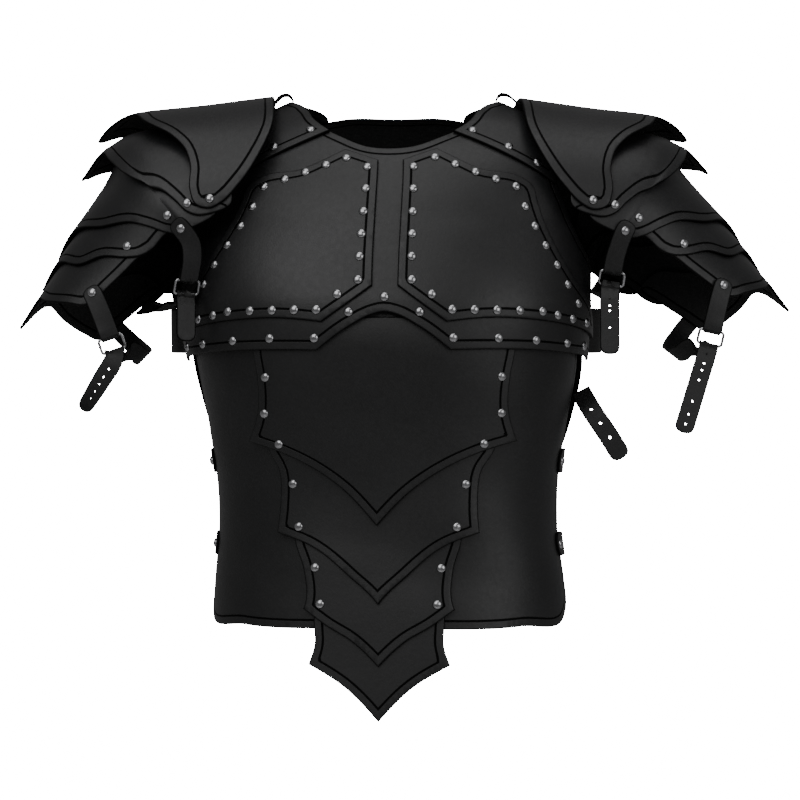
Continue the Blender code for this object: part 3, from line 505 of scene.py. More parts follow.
BELLY_LAMES = (
    # outline, step from the top, height as a share of LAME_STEP, studs (across, down)
    (LAME_OUTLINE_A, 0.00, 2.130, ((0.885, 0.281), (0.884, 0.456), (0.766, 0.603))),
    (LAME_OUTLINE_B, 1.00, 2.020, ((0.653, 0.350), (0.594, 0.568))),
    (LAME_OUTLINE_C, 2.00, 1.645, ((0.478, 0.355), (0.444, 0.618))),
    (LAME_OUTLINE_D, 2.93, 1.238, ()),
)


def front_place(across, down):
    """The place on the body form at a distance across the front and a share of the height down."""
    row = row_at(down)
    width = CHEST_HALF_WIDTH * float(read(BODY_SECTIONS, 1, np.array([row]))[0])
    angle = math.asin(bulge(max(min(across / width, 1.0), -1.0), FULLNESS / 2))
    return float(bulge(angle, 2 / FULLNESS)), row


def metal_material(name, colour, rough):
    """Nickel plate: bright, with faint scuffs and duller patches."""
    material = bpy.data.materials.new(name)
    material.use_nodes = True
    tree = material.node_tree
    link = tree.links.new
    shader = tree.nodes["Principled BSDF"]
    shader.inputs["Metallic"].default_value = 1.0
    coordinates = tree.nodes.new("ShaderNodeTexCoord")
    scuffs = add_node(tree, "ShaderNodeTexNoise", Scale=420, Detail=4)
    link(coordinates.outputs["Object"], scuffs.inputs["Vector"])
    tone = colour_ramp(tree, (0.30, [0.7 * part for part in colour]), (0.62, colour))
    link(scuffs.outputs["Fac"], tone.inputs["Fac"])
    link(tone.outputs["Color"], shader.inputs["Base Color"])
    spread = add_node(tree, "ShaderNodeMapRange", To_Min=rough - 0.06, To_Max=rough + 0.16)
    link(scuffs.outputs["Fac"], spread.inputs["Value"])
    link(spread.outputs["Result"], shader.inputs["Roughness"])
    return material


NICKEL = metal_material("nickel", (0.40, 0.40, 0.41), 0.18)


def add_studs(name, seats):
    """Domed caps, each with a shallow underside. Each seat is a point on the leather and the way it faces.
    """
    studs = bmesh.new()
    for spot, facing in seats:
        turn = Vector(facing).to_track_quat("Z", "Y").to_matrix().to_4x4()
        dome = bmesh.ops.create_uvsphere(studs, u_segments=22, v_segments=14, radius=STUD_RADIUS)
        for vert in dome["verts"]:
            rise = vert.co.z
            vert.co.z = rise * STUD_HEIGHT / STUD_RADIUS if rise > -1e-6 else rise * STUD_UNDERSIDE
        bmesh.ops.transform(studs, verts=dome["verts"],
                            matrix=Matrix.Translation(Vector(spot)) @ turn)
    for face in studs.faces:
        face.smooth = True
    piece = finished(name, studs, (NICKEL,))
    return piece


def seats_on(form, places, lift):
    """Stud seats on the outer face of a leather piece, from places of angle and row."""
    return [form.seat(a, r, lift(np.array([a]), np.array([r])) + LEATHER) for a, r in places]


def lame_lift(step):
    """Each belly lame leans out over the next, by one layer for every step down."""
    slope = (LEATHER + LAYER_GAP) / LAME_STEP
    top = LAME_TOP + step * LAME_STEP
    return lambda a, r: LEATHER + LAYER_GAP + slope * (BODY_HEIGHT * read(BODY_SECTIONS, 0, r) - top)


lame_seats = []
for number, (outline, step, height, studs) in enumerate(BELLY_LAMES, 1):
    top = LAME_TOP + step * LAME_STEP
    half = []
    for across, down, sharp, tooled in outline:
        share = (top + down * height * LAME_STEP) / BODY_HEIGHT
        half.append((*front_place(across * LAME_HALF_WIDTH, share), sharp, tooled))
    lift = lame_lift(step)
    lame = leather(f"belly_lame_{number}_leather", BODY, both_sides(half), lift, LEATHER, GRID,
                   LEATHERS)
    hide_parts(f"belly_lame_{number}")
    for across, down in studs:
        share = (top + down * height * LAME_STEP) / BODY_HEIGHT
        for sign in (1, -1):
            lame_seats += seats_on(BODY, [front_place(sign * across * LAME_HALF_WIDTH, share)], lift)
add_studs("belly_lame_studs", lame_seats)

# Breastplate. One piece of the same leather from the neckline and shoulders to a band below the
# chest, with a tooled line all round and rivets along the band. It stands off the belly panel at
# its foot, over the first lame.
BREASTPLATE_RAISE = 0.0092
RAISE_FROM = 0.234
RAISE_TO = 0.391
BREASTPLATE_FRONT = (
    # share of CHEST_HALF_WIDTH across, down, sharp, tooled
    (0.000, 0.1000, 0, 1), (0.110, 0.0960, 0, 1), (0.250, 0.0760, 0, 1), (0.370, 0.0500, 1, 1),
    (0.620, 0.0920, 0, 1),
    (0.780, 0.1300, 1, 1), (0.800, 0.1600, 0, 1), (0.850, 0.2080, 0, 1), (0.915, 0.2680, 0, 1),
    (0.968, 0.3260, 0, 1))
BREASTPLATE_SIDE = (
    # degrees, down, sharp, tooled
    (83, 0.380, 0, 1), (88, 0.405, 1, 1), (87, 0.497, 1, 1))
# The hem starts a little short of the solid's, inside the body's width, so that its curve is clean.
BREASTPLATE_HEM = (
    (0.920, 0.4880, 0, 1), (0.880, 0.4860, 0, 1), (0.715, 0.4800, 0, 1), (0.309, 0.4800, 1, 1),
    (0.155, 0.4360, 0, 1), (0.060, 0.4170, 0, 1), (0.000, 0.4120, 0, 1))
BREASTPLATE_STUDS = (
    (0.000, 0.3860), (0.165, 0.4120), (0.320, 0.4580), (0.525, 0.4580), (0.695, 0.4610),
    (0.835, 0.4650), (0.915, 0.4690))


def breastplate_lift(a, r):
    """The breastplate lies on the chest at its top and passes over the first belly lame below."""
    start = row_at(RAISE_FROM)
    end = row_at(RAISE_TO)
    return BREASTPLATE_RAISE * np.clip((r - start) / (end - start), 0.0, 1.0)


def across_front(table):
    """Table rows of a share of CHEST_HALF_WIDTH and a share down, as places on the body form."""
    return [(*front_place(across * CHEST_HALF_WIDTH, down), sharp, tooled)
            for across, down, sharp, tooled in table]


half = across_front(BREASTPLATE_FRONT) + on_body(BREASTPLATE_SIDE) + across_front(BREASTPLATE_HEM)
breastplate = leather("breastplate_leather", BODY, both_sides(half), breastplate_lift, LEATHER, GRID,
                      LEATHERS)
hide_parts("breastplate")
seats = []
for across, down in BREASTPLATE_STUDS:
    for sign in ((1, -1) if across else (1,)):
        place = front_place(sign * across * CHEST_HALF_WIDTH, down)
        seats += seats_on(BODY, [place], breastplate_lift)
add_studs("breastplate_studs", seats)

# Chest panels. A stiff plate on each side of the chest, edged with a row of twenty-six domed caps
# set in its tooled line.
CHEST_PANEL_WIDTH = 0.195
CHEST_PANEL_HEIGHT = 0.184
CHEST_PANEL_TOP = 0.0540
CHEST_PANEL_OUTLINE = (
    # across, down, sharp, tooled
    (0.0600, 0.0650, 1, 1), (0.2256, 0.0000, 1, 1), (0.3282, 0.0600, 0, 1), (0.4308, 0.1090, 0, 1),
    (0.6256, 0.1400, 0, 1), (0.6900, 0.1840, 0, 1), (0.7282, 0.2880, 0, 1), (0.7718, 0.4080, 0, 1),
    (0.8667, 0.6230, 0, 1), (0.9650, 0.8200, 0, 1), (0.9750, 0.9640, 1, 1), (0.9026, 0.9170, 0, 1),
    (0.7026, 0.8860, 0, 1), (0.4872, 0.8810, 0, 1), (0.2949, 0.9020, 1, 1), (0.0605, 0.7220, 1, 1))
CHEST_PANEL_STUDS = (
    # across, down, studs between this one and the next
    (0.114, 0.103, 4), (0.128, 0.695, 1), (0.318, 0.843, 3), (0.728, 0.843, 2), (0.935, 0.888, 2),
    (0.810, 0.602, 3), (0.615, 0.202, 3), (0.218, 0.055, 0))


def panel_lift(a, r):
    return breastplate_lift(a, r) + LEATHER + LAYER_GAP


def panel_place(across, down):
    depth = CHEST_PANEL_TOP + down * CHEST_PANEL_HEIGHT
    return front_place(across * CHEST_PANEL_WIDTH, depth / BODY_HEIGHT)


for side, sign in (("left", 1), ("right", -1)):
    outline = [(*panel_place(sign * across, down), sharp, tooled)
               for across, down, sharp, tooled in CHEST_PANEL_OUTLINE]
    panel = leather(f"chest_panel_{side}_leather", BODY, outline, panel_lift, LEATHER, GRID,
                    LEATHERS)
    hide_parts(f"chest_panel_{side}")
    places = []
    for here, following in zip(CHEST_PANEL_STUDS, CHEST_PANEL_STUDS[1:] + CHEST_PANEL_STUDS[:1]):
        for k in range(here[2] + 1):
            share = k / (here[2] + 1)
            across = here[0] + share * (following[0] - here[0])
            down = here[1] + share * (following[1] - here[1])
            places.append(panel_place(sign * across, down))
    add_studs(f"chest_panel_{side}_studs", seats_on(BODY, places, panel_lift))

# Back panel. One plain piece that closes the armour behind, with a high neck edge and deep
# armholes. It meets the belly panel at the sides under the straps.
BACK_GRID = 0.007
BACK_PANEL_OUTLINE = (
    # degrees, down, sharp, tooled
    (180, 0.019, 0, 1), (160, 0.019, 0, 1), (144, 0.030, 1, 1), (131, 0.100, 0, 1),
    (128, 0.160, 0, 1), (122, 0.240, 0, 1), (113, 0.320, 0, 1), (104, 0.370, 0, 1),
    (97, 0.405, 1, 1), (96, 0.560, 0, 1), (98, 0.700, 0, 1), (98, 0.920, 0, 1), (99, 0.975, 0, 1),
    (104, 0.992, 0, 1), (135, 1.000, 0, 1), (180, 1.000, 0, 1))

rows = list(BACK_PANEL_OUTLINE)
rows += [(360 - degrees, down, sharp, tooled)
         for degrees, down, sharp, tooled in reversed(BACK_PANEL_OUTLINE) if degrees < 180]
back_panel = leather("back_panel_leather", BODY, on_body(rows), level(0.0), LEATHER, BACK_GRID,
                     LEATHERS)
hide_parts("back_panel")

# Waist straps. Two short straps a side hold the belly panel to the back panel, each with a domed
# cap at its front end.
STRAP_LEATHER = 0.0022
SEAT_GAP = 0.0003
WAIST_STRAP_WIDTH = 0.024
WAIST_STRAPS = {"upper": 0.690, "lower": 0.852}
WAIST_STRAP_OUTLINE = (
    # degrees, half widths down, sharp
    (78.5, 1.0, 1), (77, 0.6, 0), (77, -0.6, 0), (78.5, -1.0, 1), (112, -1.0, 1), (112, 1.0, 1))
WAIST_STUD_DEGREES = 80
STRAP_BLACK = leather_material("strap_leather", (0.003, 0.003, 0.0032), (0.006, 0.006, 0.0063),
                               0.52, 0.22)
STRAPS = (STRAP_BLACK, FLESH_SIDE)

seats = []
for height, down in WAIST_STRAPS.items():
    half = WAIST_STRAP_WIDTH / 2 / BODY_HEIGHT
    for side, sign in (("left", 1), ("right", -1)):
        outline = [(around(sign * degrees), row_at(down + share * half), sharp, 0)
                   for degrees, share, sharp in WAIST_STRAP_OUTLINE]
        strap_piece = leather(f"waist_strap_{side}_{height}_leather", BODY, outline,
                              level(LEATHER + SEAT_GAP), STRAP_LEATHER, GRID, STRAPS)
        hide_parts(f"waist_strap_{side}_{height}")
        seats.append(BODY.seat(around(sign * WAIST_STUD_DEGREES), row_at(down),
                               LEATHER + SEAT_GAP + STRAP_LEATHER))
add_studs("waist_strap_studs", seats)

# Shoulder yokes. A shaped strap over each shoulder, riveted to the breastplate and the back panel,
# which carries the guard. Its front seam crosses the top of the breastplate.
# The back corner, at 151 degrees, is a little lower than the solid's, under the neck edge.
YOKE_OUTLINE = (
    # degrees, down, sharp, tooled
    (17, 0.069, 1, 1), (26, 0.047, 0, 1), (38, 0.024, 0, 1), (55, 0.010, 0, 1), (75, 0.004, 0, 1),
    (100, 0.004, 0, 1), (125, 0.008, 0, 1), (151, 0.0235, 0, 1), (146, 0.060, 0, 1),
    (138, 0.130, 1, 1), (128, 0.098, 0, 1), (116, 0.072, 0, 1), (102, 0.058, 0, 1),
    (88, 0.054, 0, 1), (74, 0.062, 0, 1), (64, 0.084, 0, 1), (57, 0.120, 0, 1), (51, 0.168, 1, 1),
    (34, 0.121, 0, 1))
YOKE_GRID = 0.005
YOKE_STUDS = ((24, 0.068), (34, 0.100), (44, 0.131), (146, 0.038), (140, 0.090))

yoke_lift = level(LEATHER + LAYER_GAP)
for side, sign in (("left", 1), ("right", -1)):
    outline = on_body([(sign * degrees, down, sharp, tooled)
                       for degrees, down, sharp, tooled in YOKE_OUTLINE])
    yoke = leather(f"shoulder_yoke_{side}_leather", BODY, outline, yoke_lift, LEATHER, YOKE_GRID,
                   LEATHERS)
    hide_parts(f"shoulder_yoke_{side}")
    places = [(around(sign * degrees), row_at(down)) for degrees, down in YOKE_STUDS]
    add_studs(f"shoulder_yoke_{side}_studs", seats_on(BODY, places, yoke_lift))

# Chest straps. A wide strap under each arm runs from behind the breastplate's end to the back
# panel, and bows out where nothing backs it. A strap's form is its route: s across and t along.
STRAP_GRID = 0.004
STRAP_ENDS = {
    # half widths across, half widths back from the end, sharp
    "square": ((1.0, 0.0, 1),),
    "round": ((1.0, 0.75, 1), (0.90, 0.36, 0), (0.62, 0.10, 0), (0.25, 0.01, 0)),
}
CHEST_STRAP_WIDTH = 0.044
CHEST_STRAP_DOWN = 0.437
CHEST_STRAP = ((80, 0.0040), (85, 0.0044), (89.5, 0.0055), (93, 0.0130), (98, 0.0220),
               (104, 0.0220), (112, 0.0120), (118, 0.0055), (124, 0.0044))


class Route(Form):
    """A strap's route through stations: a point, the side that its wall goes to, and its across."""

    small = 0.0004

    def __init__(self, stations):
        points = np.array([station[0] for station in stations], float)
        walls = np.array([station[1] for station in stations], float)
        ahead = np.gradient(points, axis=0)
        across = unit(np.cross(ahead, walls))
        for k, station in enumerate(stations):
            if len(station) > 2:
                across[k] = unit(np.array(station[2], float))
        self.gaps = np.linalg.norm(np.diff(points, axis=0), axis=1)
        self.reach = np.concatenate([[0.0], np.cumsum(self.gaps)])
        self.length = float(self.reach[-1])
        self.points = self.curve(points)
        self.across = self.curve(across)
        self.walls = self.curve(unit(np.cross(across, ahead)))
        super().__init__(self.spot_at, 1, (1.0, 1.0), 0.0)

    def curve(self, values):
        """Values at the stations with their slopes, for a smooth curve through them."""
        chords = np.diff(values, axis=0) / self.gaps[:, None]
        slopes = np.concatenate([chords[:1], chords[-1:]])
        if len(chords) > 1:
            before = self.gaps[:-1, None]
            after = self.gaps[1:, None]
            middle = (chords[:-1] * after + chords[1:] * before) / (before + after)
            slopes = np.concatenate([chords[:1], middle, chords[-1:]])
        return values, slopes

    def along(self, curve, t):
        values, slopes = curve
        inside = np.clip(t, 0, self.length)
        low = np.clip(np.searchsorted(self.reach, inside, side="right") - 1, 0, len(self.gaps) - 1)
        gap = self.gaps[low][..., None]
        share = (inside - self.reach[low])[..., None] / gap
        return eased(share, gap, values[low], values[low + 1], slopes[low], slopes[low + 1])

    def spot_at(self, s, t):
        beyond = t - np.clip(t, 0, self.length)
        slopes = self.points[1]
        ends = np.where((beyond > 0)[..., None], slopes[-1], slopes[0])
        return (self.along(self.points, t) + unit(self.along(self.across, t)) * s[..., None]
                + unit(ends) * beyond[..., None])

    def normal(self, s, t):
        return unit(self.along(self.walls, t))


def strap(name, route, start, width, ends, holes=(), spacing=STRAP_GRID):
    """A strap on its route, from distance start. ends: how its two ends are cut."""
    half = width / 2
    outline = []
    for share, back, sharp in reversed(STRAP_ENDS[ends[0]]):
        outline.append((share * half, start + back * half, sharp, 0))
    for share, back, sharp in STRAP_ENDS[ends[1]]:
        outline.append((share * half, route.length - back * half, sharp, 0))
    outline += [(-s, t, sharp, tooled) for s, t, sharp, tooled in reversed(outline)]
    piece = leather(name, route, outline, level(0.0), STRAP_LEATHER, spacing, STRAPS, holes)
    return piece


for side, sign in (("left", 1), ("right", -1)):
    stations = [BODY.seat(around(sign * degrees), row_at(CHEST_STRAP_DOWN), lift)
                for degrees, lift in CHEST_STRAP]
    chest_strap = strap(f"chest_strap_{side}_leather", Route(stations), 0.0, CHEST_STRAP_WIDTH,
                        ("square", "square"), spacing=GRID)
    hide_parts(f"chest_strap_{side}")

# Loose strap end at the wearer's left side, hanging out from between the panels, with three
# punched holes.
SIDE_TAIL_WIDTH = 0.020
SIDE_TAIL_HOLE_RADIUS = 0.0014
SIDE_TAIL_HOLES = (0.0254, 0.0423, 0.0589)
SIDE_TAIL = ((0.1883, 0.0067, -0.2850), (0.1990, -0.0080, -0.3050), (0.2155, -0.0120, -0.3300),
             (0.2290, -0.0120, -0.3520))

route = Route([(spot, (0, -1, 0)) for spot in SIDE_TAIL])
holes = [(0.0, distance, SIDE_TAIL_HOLE_RADIUS) for distance in SIDE_TAIL_HOLES]
side_tail = strap("side_tail_left_leather", route, 0.0, SIDE_TAIL_WIDTH, ("square", "round"), holes)
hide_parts("side_tail_left")

# Shoulder guards. Five lames a side of the same leather, each over the next, riveted front and back
# so that they slide as the arm lifts. The crown lame has its tooled line all round, the others
# along their free edges. The form of a guard is an angle round the arm and a row down it.
ARM_REACH = 0.373
ARM_DROP = 0.223
GUARD_HALF_DEPTH = 0.096
GUARD_HEIGHT = 0.095
GUARD_SHIFT = 0.004
GUARD_TURN = math.radians(3.0)
SHOULDER_SECTION = 2
CROWN_LINE = 100

GUARD_SECTIONS = (
    # out, down, tilt, half_depth, height, forward
    (0.316, 0.030, 14.0, 0.960, 0.926, -0.06),
    (0.501, 0.118, 15.0, 1.000, 1.000, -0.05),
    (0.662, 0.194, 26.0, 0.960, 1.000, 0.00),
    (0.724, 0.275, 42.0, 0.900, 0.926, 0.04),
    (0.773, 0.395, 54.0, 0.833, 0.842, 0.08),
    (0.832, 0.553, 57.5, 0.760, 0.779, 0.12),
    (0.891, 0.712, 57.5, 0.698, 0.716, 0.16),
    (0.946, 0.857, 57.5, 0.646, 0.663, 0.20),
    (1.000, 1.000, 57.5, 0.604, 0.632, 0.23),
    (1.060, 1.160, 57.5, 0.560, 0.600, 0.26),
)
ARM_SETTINGS = {
    "left": {"side": 1, "lift": 7.5, "spread": -0.008},
    "right": {"side": -1, "lift": 0.0, "spread": -0.0065},
}
GUARD_LAMES = (
    # name, base, start, tip, start_flare, tip_flare, back_drop
    ("crown", 4, 0.00, 2.85, 0.0, 9.5, 0.2),
    ("second", 3, 1.70, 4.15, 0.5, 8.2, 0.6),
    ("third", 2, 2.80, 6.05, 0.0, 1.0, 1.2),
    ("fourth", 1, 4.70, 6.95, 0.0, 1.0, 0.9),
    ("fifth", 0, 5.70, 8.10, 0.0, 1.7, 0.7),
)
LAME_OUTLINES = {
    "crown": ((100, 0.00), (70, 0.03), (41, 0.17), (25, 0.45), (14, 0.80), (8, 1.15), (7, 1.36),
              (11, 1.60), (18, 1.60), (31, 1.45), (40, 1.45), (50, 1.58), (64, 1.90), (86, 2.12),
              (100, 2.85)),
    "second": ((100, 1.70), (60, 1.30), (30, 1.00), (6, 1.00), (4.5, 1.33), (5.5, 1.66), (9, 1.86),
               (16, 2.02), (23, 2.28), (33, 2.97), (47, 3.25), (60, 3.24), (81, 3.19), (100, 4.15)),
    "third": ((100, 2.80), (50, 2.75), (35, 2.40), (20, 1.70), (2, 1.42), (-3, 3.00), (-1, 3.86),
              (3.5, 4.06), (16, 4.26), (27, 4.41), (47, 4.89), (78, 5.31), (100, 6.05)),
    "fourth": ((100, 4.70), (50, 4.40), (35, 3.90), (20, 3.10), (3, 3.05), (5, 4.30), (5, 4.64),
               (9.5, 4.99), (16, 5.17), (33, 5.46), (46, 5.88), (78, 6.16), (100, 6.95)),
    "fifth": ((100, 5.70), (50, 5.50), (25, 4.65), (10, 4.60), (10.5, 5.24), (14, 6.03),
              (16, 6.45), (20, 6.66), (33, 6.85), (56, 7.11), (79, 7.18), (100, 8.10)),
}
# The outline row from which each lame is tooled.
TOOLED_FROM = {"crown": 0, "second": 4, "third": 6, "fourth": 5, "fifth": 4}
LAME_STUDS = {"crown": (11.5, 1.30), "second": (12.5, 1.74), "third": (11.2, 3.37),
              "fourth": (21, 4.94), "fifth": (20, 6.28)}


def guard_spot(arm, angle, row):
    """Points of a guard's form: angle 0 is the arm's front and 90 degrees its crown."""
    held = np.clip((row - SHOULDER_SECTION) / 2, 0.0, 1.0)
    lift = math.radians(arm["lift"]) * held
    pivot_out = ARM_REACH * GUARD_SECTIONS[SHOULDER_SECTION][0]
    pivot_up = -ARM_DROP * GUARD_SECTIONS[SHOULDER_SECTION][1]
    run = ARM_REACH * read(GUARD_SECTIONS, 0, row) - pivot_out
    rise = -ARM_DROP * read(GUARD_SECTIONS, 1, row) - pivot_up
    out = pivot_out + run * np.cos(lift) - rise * np.sin(lift) + arm["spread"] * held
    up = pivot_up + run * np.sin(lift) + rise * np.cos(lift)
    tilt = np.radians(read(GUARD_SECTIONS, 2, row)) - lift
    drop = GUARD_HEIGHT * read(GUARD_SECTIONS, 4, row) * (1 - np.sin(angle))
    x = arm["side"] * (out - drop * np.sin(tilt)) + GUARD_SHIFT
    y = (-GUARD_HALF_DEPTH * read(GUARD_SECTIONS, 5, row)
         - GUARD_HALF_DEPTH * read(GUARD_SECTIONS, 3, row) * np.cos(angle))
    return np.stack([x * math.cos(GUARD_TURN) - y * math.sin(GUARD_TURN),
                     x * math.sin(GUARD_TURN) + y * math.cos(GUARD_TURN),
                     up - drop * np.cos(tilt)], axis=-1)


GUARDS = {
    side: Form(lambda a, r, arm=arm: guard_spot(arm, a, r), arm["side"], (0.09, 0.030), WAVE)
    for side, arm in ARM_SETTINGS.items()
}


def guard_lift(base, start, tip, start_flare, tip_flare):
    """How far a lame stands off its guard's form: more at its crown and towards its tip."""
    def lift(a, r):
        crown = np.clip(np.sin(a), 0.0, None) ** 2
        share = (r - start) / (tip - start)
        flare = LEATHER * (start_flare + (tip_flare - start_flare) * share)
        return base * (LEATHER + LAYER_GAP) + flare * crown

    return lift


def back_half(degrees, row, back_drop):
    """The place on the back of a lame that answers to a place on its front."""
    return 2 * CROWN_LINE - degrees, row + back_drop * math.cos(math.radians(degrees)) ** 2


for side, form in GUARDS.items():
    seats = []
    for name, base, start, tip, start_flare, tip_flare, back_drop in GUARD_LAMES:
        lift = guard_lift(base, start, tip, start_flare, tip_flare)
        last = len(LAME_OUTLINES[name]) - 1
        front = [(degrees, row, int(k == last), int(k >= TOOLED_FROM[name]))
                 for k, (degrees, row) in enumerate(LAME_OUTLINES[name])]
        back = [(*back_half(degrees, row, back_drop), sharp, tooled)
                for degrees, row, sharp, tooled in reversed(front[1:-1])]
        outline = [(math.radians(degrees), row, sharp, tooled)
                   for degrees, row, sharp, tooled in front + back]
        lame = leather(f"guard_{side}_{name}_leather", form, outline, lift, LEATHER, GRID, LEATHERS)
        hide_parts(f"guard_{side}_{name}")
        for degrees, row in (LAME_STUDS[name], back_half(*LAME_STUDS[name], back_drop)):
            seats += seats_on(form, [(math.radians(degrees), row)], lift)
    add_studs(f"guard_{side}_studs", seats)

# Arm straps. Under each arm a short strap, riveted to the front of a lame, folds round the rear bar
# of a small nickel buckle. A long strap comes up from behind, passes round the front bar and hangs
# free, with punched holes. Two straps a side, of thinner leather than the plates.
ARM_STRAP_WIDTH = 0.019
BUCKLE_LENGTH = 0.017
BUCKLE_WIRE = 0.0028
BUCKLE_CORNER = 0.0030
ROLLER_GROWTH = 0.0006
STRAP_CLEARANCE = 0.0029
STRAP_FOLD = 0.012
HOLE_RADIUS = 0.0010
BUCKLE_EASE = 0.002
DRAWN_FROM = 0.45
FOLD_LEAD = 0.006
# Where the long strap comes up to the front bar and where it leaves it: along and out.
TAIL_ARRIVES = (0.010, -0.0030)
TAIL_LEAVES = (0.0035, 0.003)
HANG_SHARES = (0.12, 0.35, 0.60, 0.85, 1.0)
ARM_STRAP_LAMES = {"upper": "third", "lower": "fifth"}
ARM_STRAP_ROUTES = {
    "upper": ((6, 2.92), (0, 3.05), (-10, 3.45), (-18, 3.80), (-26, 4.10)),
    "lower": ((25, 6.22), (20, 6.30), (6, 6.58), (-4, 6.80), (-13, 7.00)),
}
ARM_TAIL_ROUTES = {
    "upper": ((-172, 4.40), (-163, 4.42), (-155.5, 4.45), (-144, 4.50), (-128, 4.55),
              (-106, 4.60), (-82, 4.65), (-58, 4.60), (-42, 4.45)),
    "lower": ((-184, 6.70), (-180, 6.70), (-160, 6.80), (-130, 6.95), (-95, 7.05), (-60, 7.05),
              (-36, 7.05)),
}
ARM_STRAPS = (
    # side, height, shift, draw, length that hangs, its direction, turn of its end, holes down it
    ("left", "upper", 0.30, 0.036, 0.062, (0.00, -0.10, -1.00), 0, (0.008, 0.0145, 0.0195, 0.036)),
    ("left", "lower", 0.00, 0.020, 0.085, (-0.30, -0.10, -0.95), 0,
     (0.005, 0.014, 0.021, 0.031, 0.053, 0.066, 0.076)),
    ("right", "upper", 1.60, 0.063, 0.040, (0.00, -0.10, -1.00), 0, ()),
    ("right", "lower", 0.00, 0.020, 0.062, (-0.52, -0.10, -0.85), -45,
     (0.015, 0.024, 0.032, 0.040, 0.048)),
)


class Buckle:
    """Where an arm buckle sits: its rear bar at the end of the front strap, its front bar below."""

    def __init__(self, side, height, shift, draw):
        self.form = GUARDS[side]
        self.shift = shift
        self.draw = draw
        lame = next(row for row in GUARD_LAMES if row[0] == ARM_STRAP_LAMES[height])
        self.lift = guard_lift(*lame[1:6])
        self.route = [(self.over_lame(*place), self.facing(*place))
                      for place in ARM_STRAP_ROUTES[height]]
        spot, self.out = self.route[-1]
        self.across = unit(np.cross(spot - self.route[-2][0], self.out))
        self.along = np.cross(self.out, self.across)
        self.bar_gap = BUCKLE_WIRE / 2 + SEAT_GAP
        self.rear_bar = spot - self.out * self.bar_gap
        self.front_bar = self.rear_bar + self.along * (BUCKLE_LENGTH - BUCKLE_WIRE)

    def place(self, degrees, row):
        below = max(-math.sin(math.radians(degrees)), 0.0)
        return np.array([math.radians(degrees)]), np.array([row + self.shift * below]), below

    def over_lame(self, degrees, row, extra=0.0):
        """A point just over the lame's outer face, drawn in towards the arm on its underside."""
        a, r, below = self.place(degrees, row)
        off = LEATHER + STRAP_CLEARANCE + extra - self.draw * max(below - DRAWN_FROM, 0.0) / (1 - DRAWN_FROM)
        return self.form.place(a, r, self.lift(a, r) + off)[0]

    def facing(self, degrees, row):
        a, r, _ = self.place(degrees, row)
        return self.form.normal(a, r)[0]

    def round_bar(self, bar, turns):
        """Stations of a strap that goes round a bar, at degrees from along towards out."""
        stations = []
        for turn in turns:
            away = (math.cos(math.radians(turn)) * self.along
                    + math.sin(math.radians(turn)) * self.out)
            stations.append((bar + away * self.bar_gap, away, self.across))
        return stations


def tube(shape, spots, radius, closed):
    """Adds a round wire or bar along spots to a shape."""
    curve = bpy.data.curves.new("wire", "CURVE")
    curve.dimensions = "3D"
    curve.bevel_depth = radius
    curve.bevel_resolution = 4
    curve.use_fill_caps = not closed
    path = curve.splines.new("POLY")
    path.points.add(len(spots) - 1)
    for point, spot in zip(path.points, spots):
        point.co = (*spot, 1)
    path.use_cyclic_u = closed
    guide = bpy.data.objects.new("wire", curve)
    bpy.context.scene.collection.objects.link(guide)
    graph = bpy.context.evaluated_depsgraph_get()
    mesh = bpy.data.meshes.new_from_object(guide.evaluated_get(graph))
    shape.from_mesh(mesh)
    bpy.data.objects.remove(guide, do_unlink=True)
    bpy.data.curves.remove(curve)
    bpy.data.meshes.remove(mesh)


def make_buckle(name, buckle):
    """A wire frame with rounded corners and a roller on its front bar."""
    half_length = (BUCKLE_LENGTH - BUCKLE_WIRE) / 2
    half_width = (ARM_STRAP_WIDTH + BUCKLE_EASE + BUCKLE_WIRE) / 2
    middle = (buckle.rear_bar + buckle.front_bar) / 2
    spots = []
    for corner, (s, w) in enumerate(((1, 1), (-1, 1), (-1, -1), (1, -1))):
        for step in range(7):
            turn = math.radians(90 * corner + 15 * step)
            length = s * (half_length - BUCKLE_CORNER) + BUCKLE_CORNER * math.cos(turn)
            width = w * (half_width - BUCKLE_CORNER) + BUCKLE_CORNER * math.sin(turn)
            spots.append(middle + length * buckle.along + width * buckle.across)
    frame_shape = bmesh.new()
    tube(frame_shape, spots, BUCKLE_WIRE / 2, True)
    reach = buckle.across * (half_width - BUCKLE_CORNER)
    tube(frame_shape, [buckle.front_bar - reach, buckle.front_bar + reach],
         BUCKLE_WIRE / 2 + ROLLER_GROWTH / 2, False)
    for face in frame_shape.faces:
        face.smooth = True
    piece = finished(name, frame_shape, (NICKEL,))
    return piece


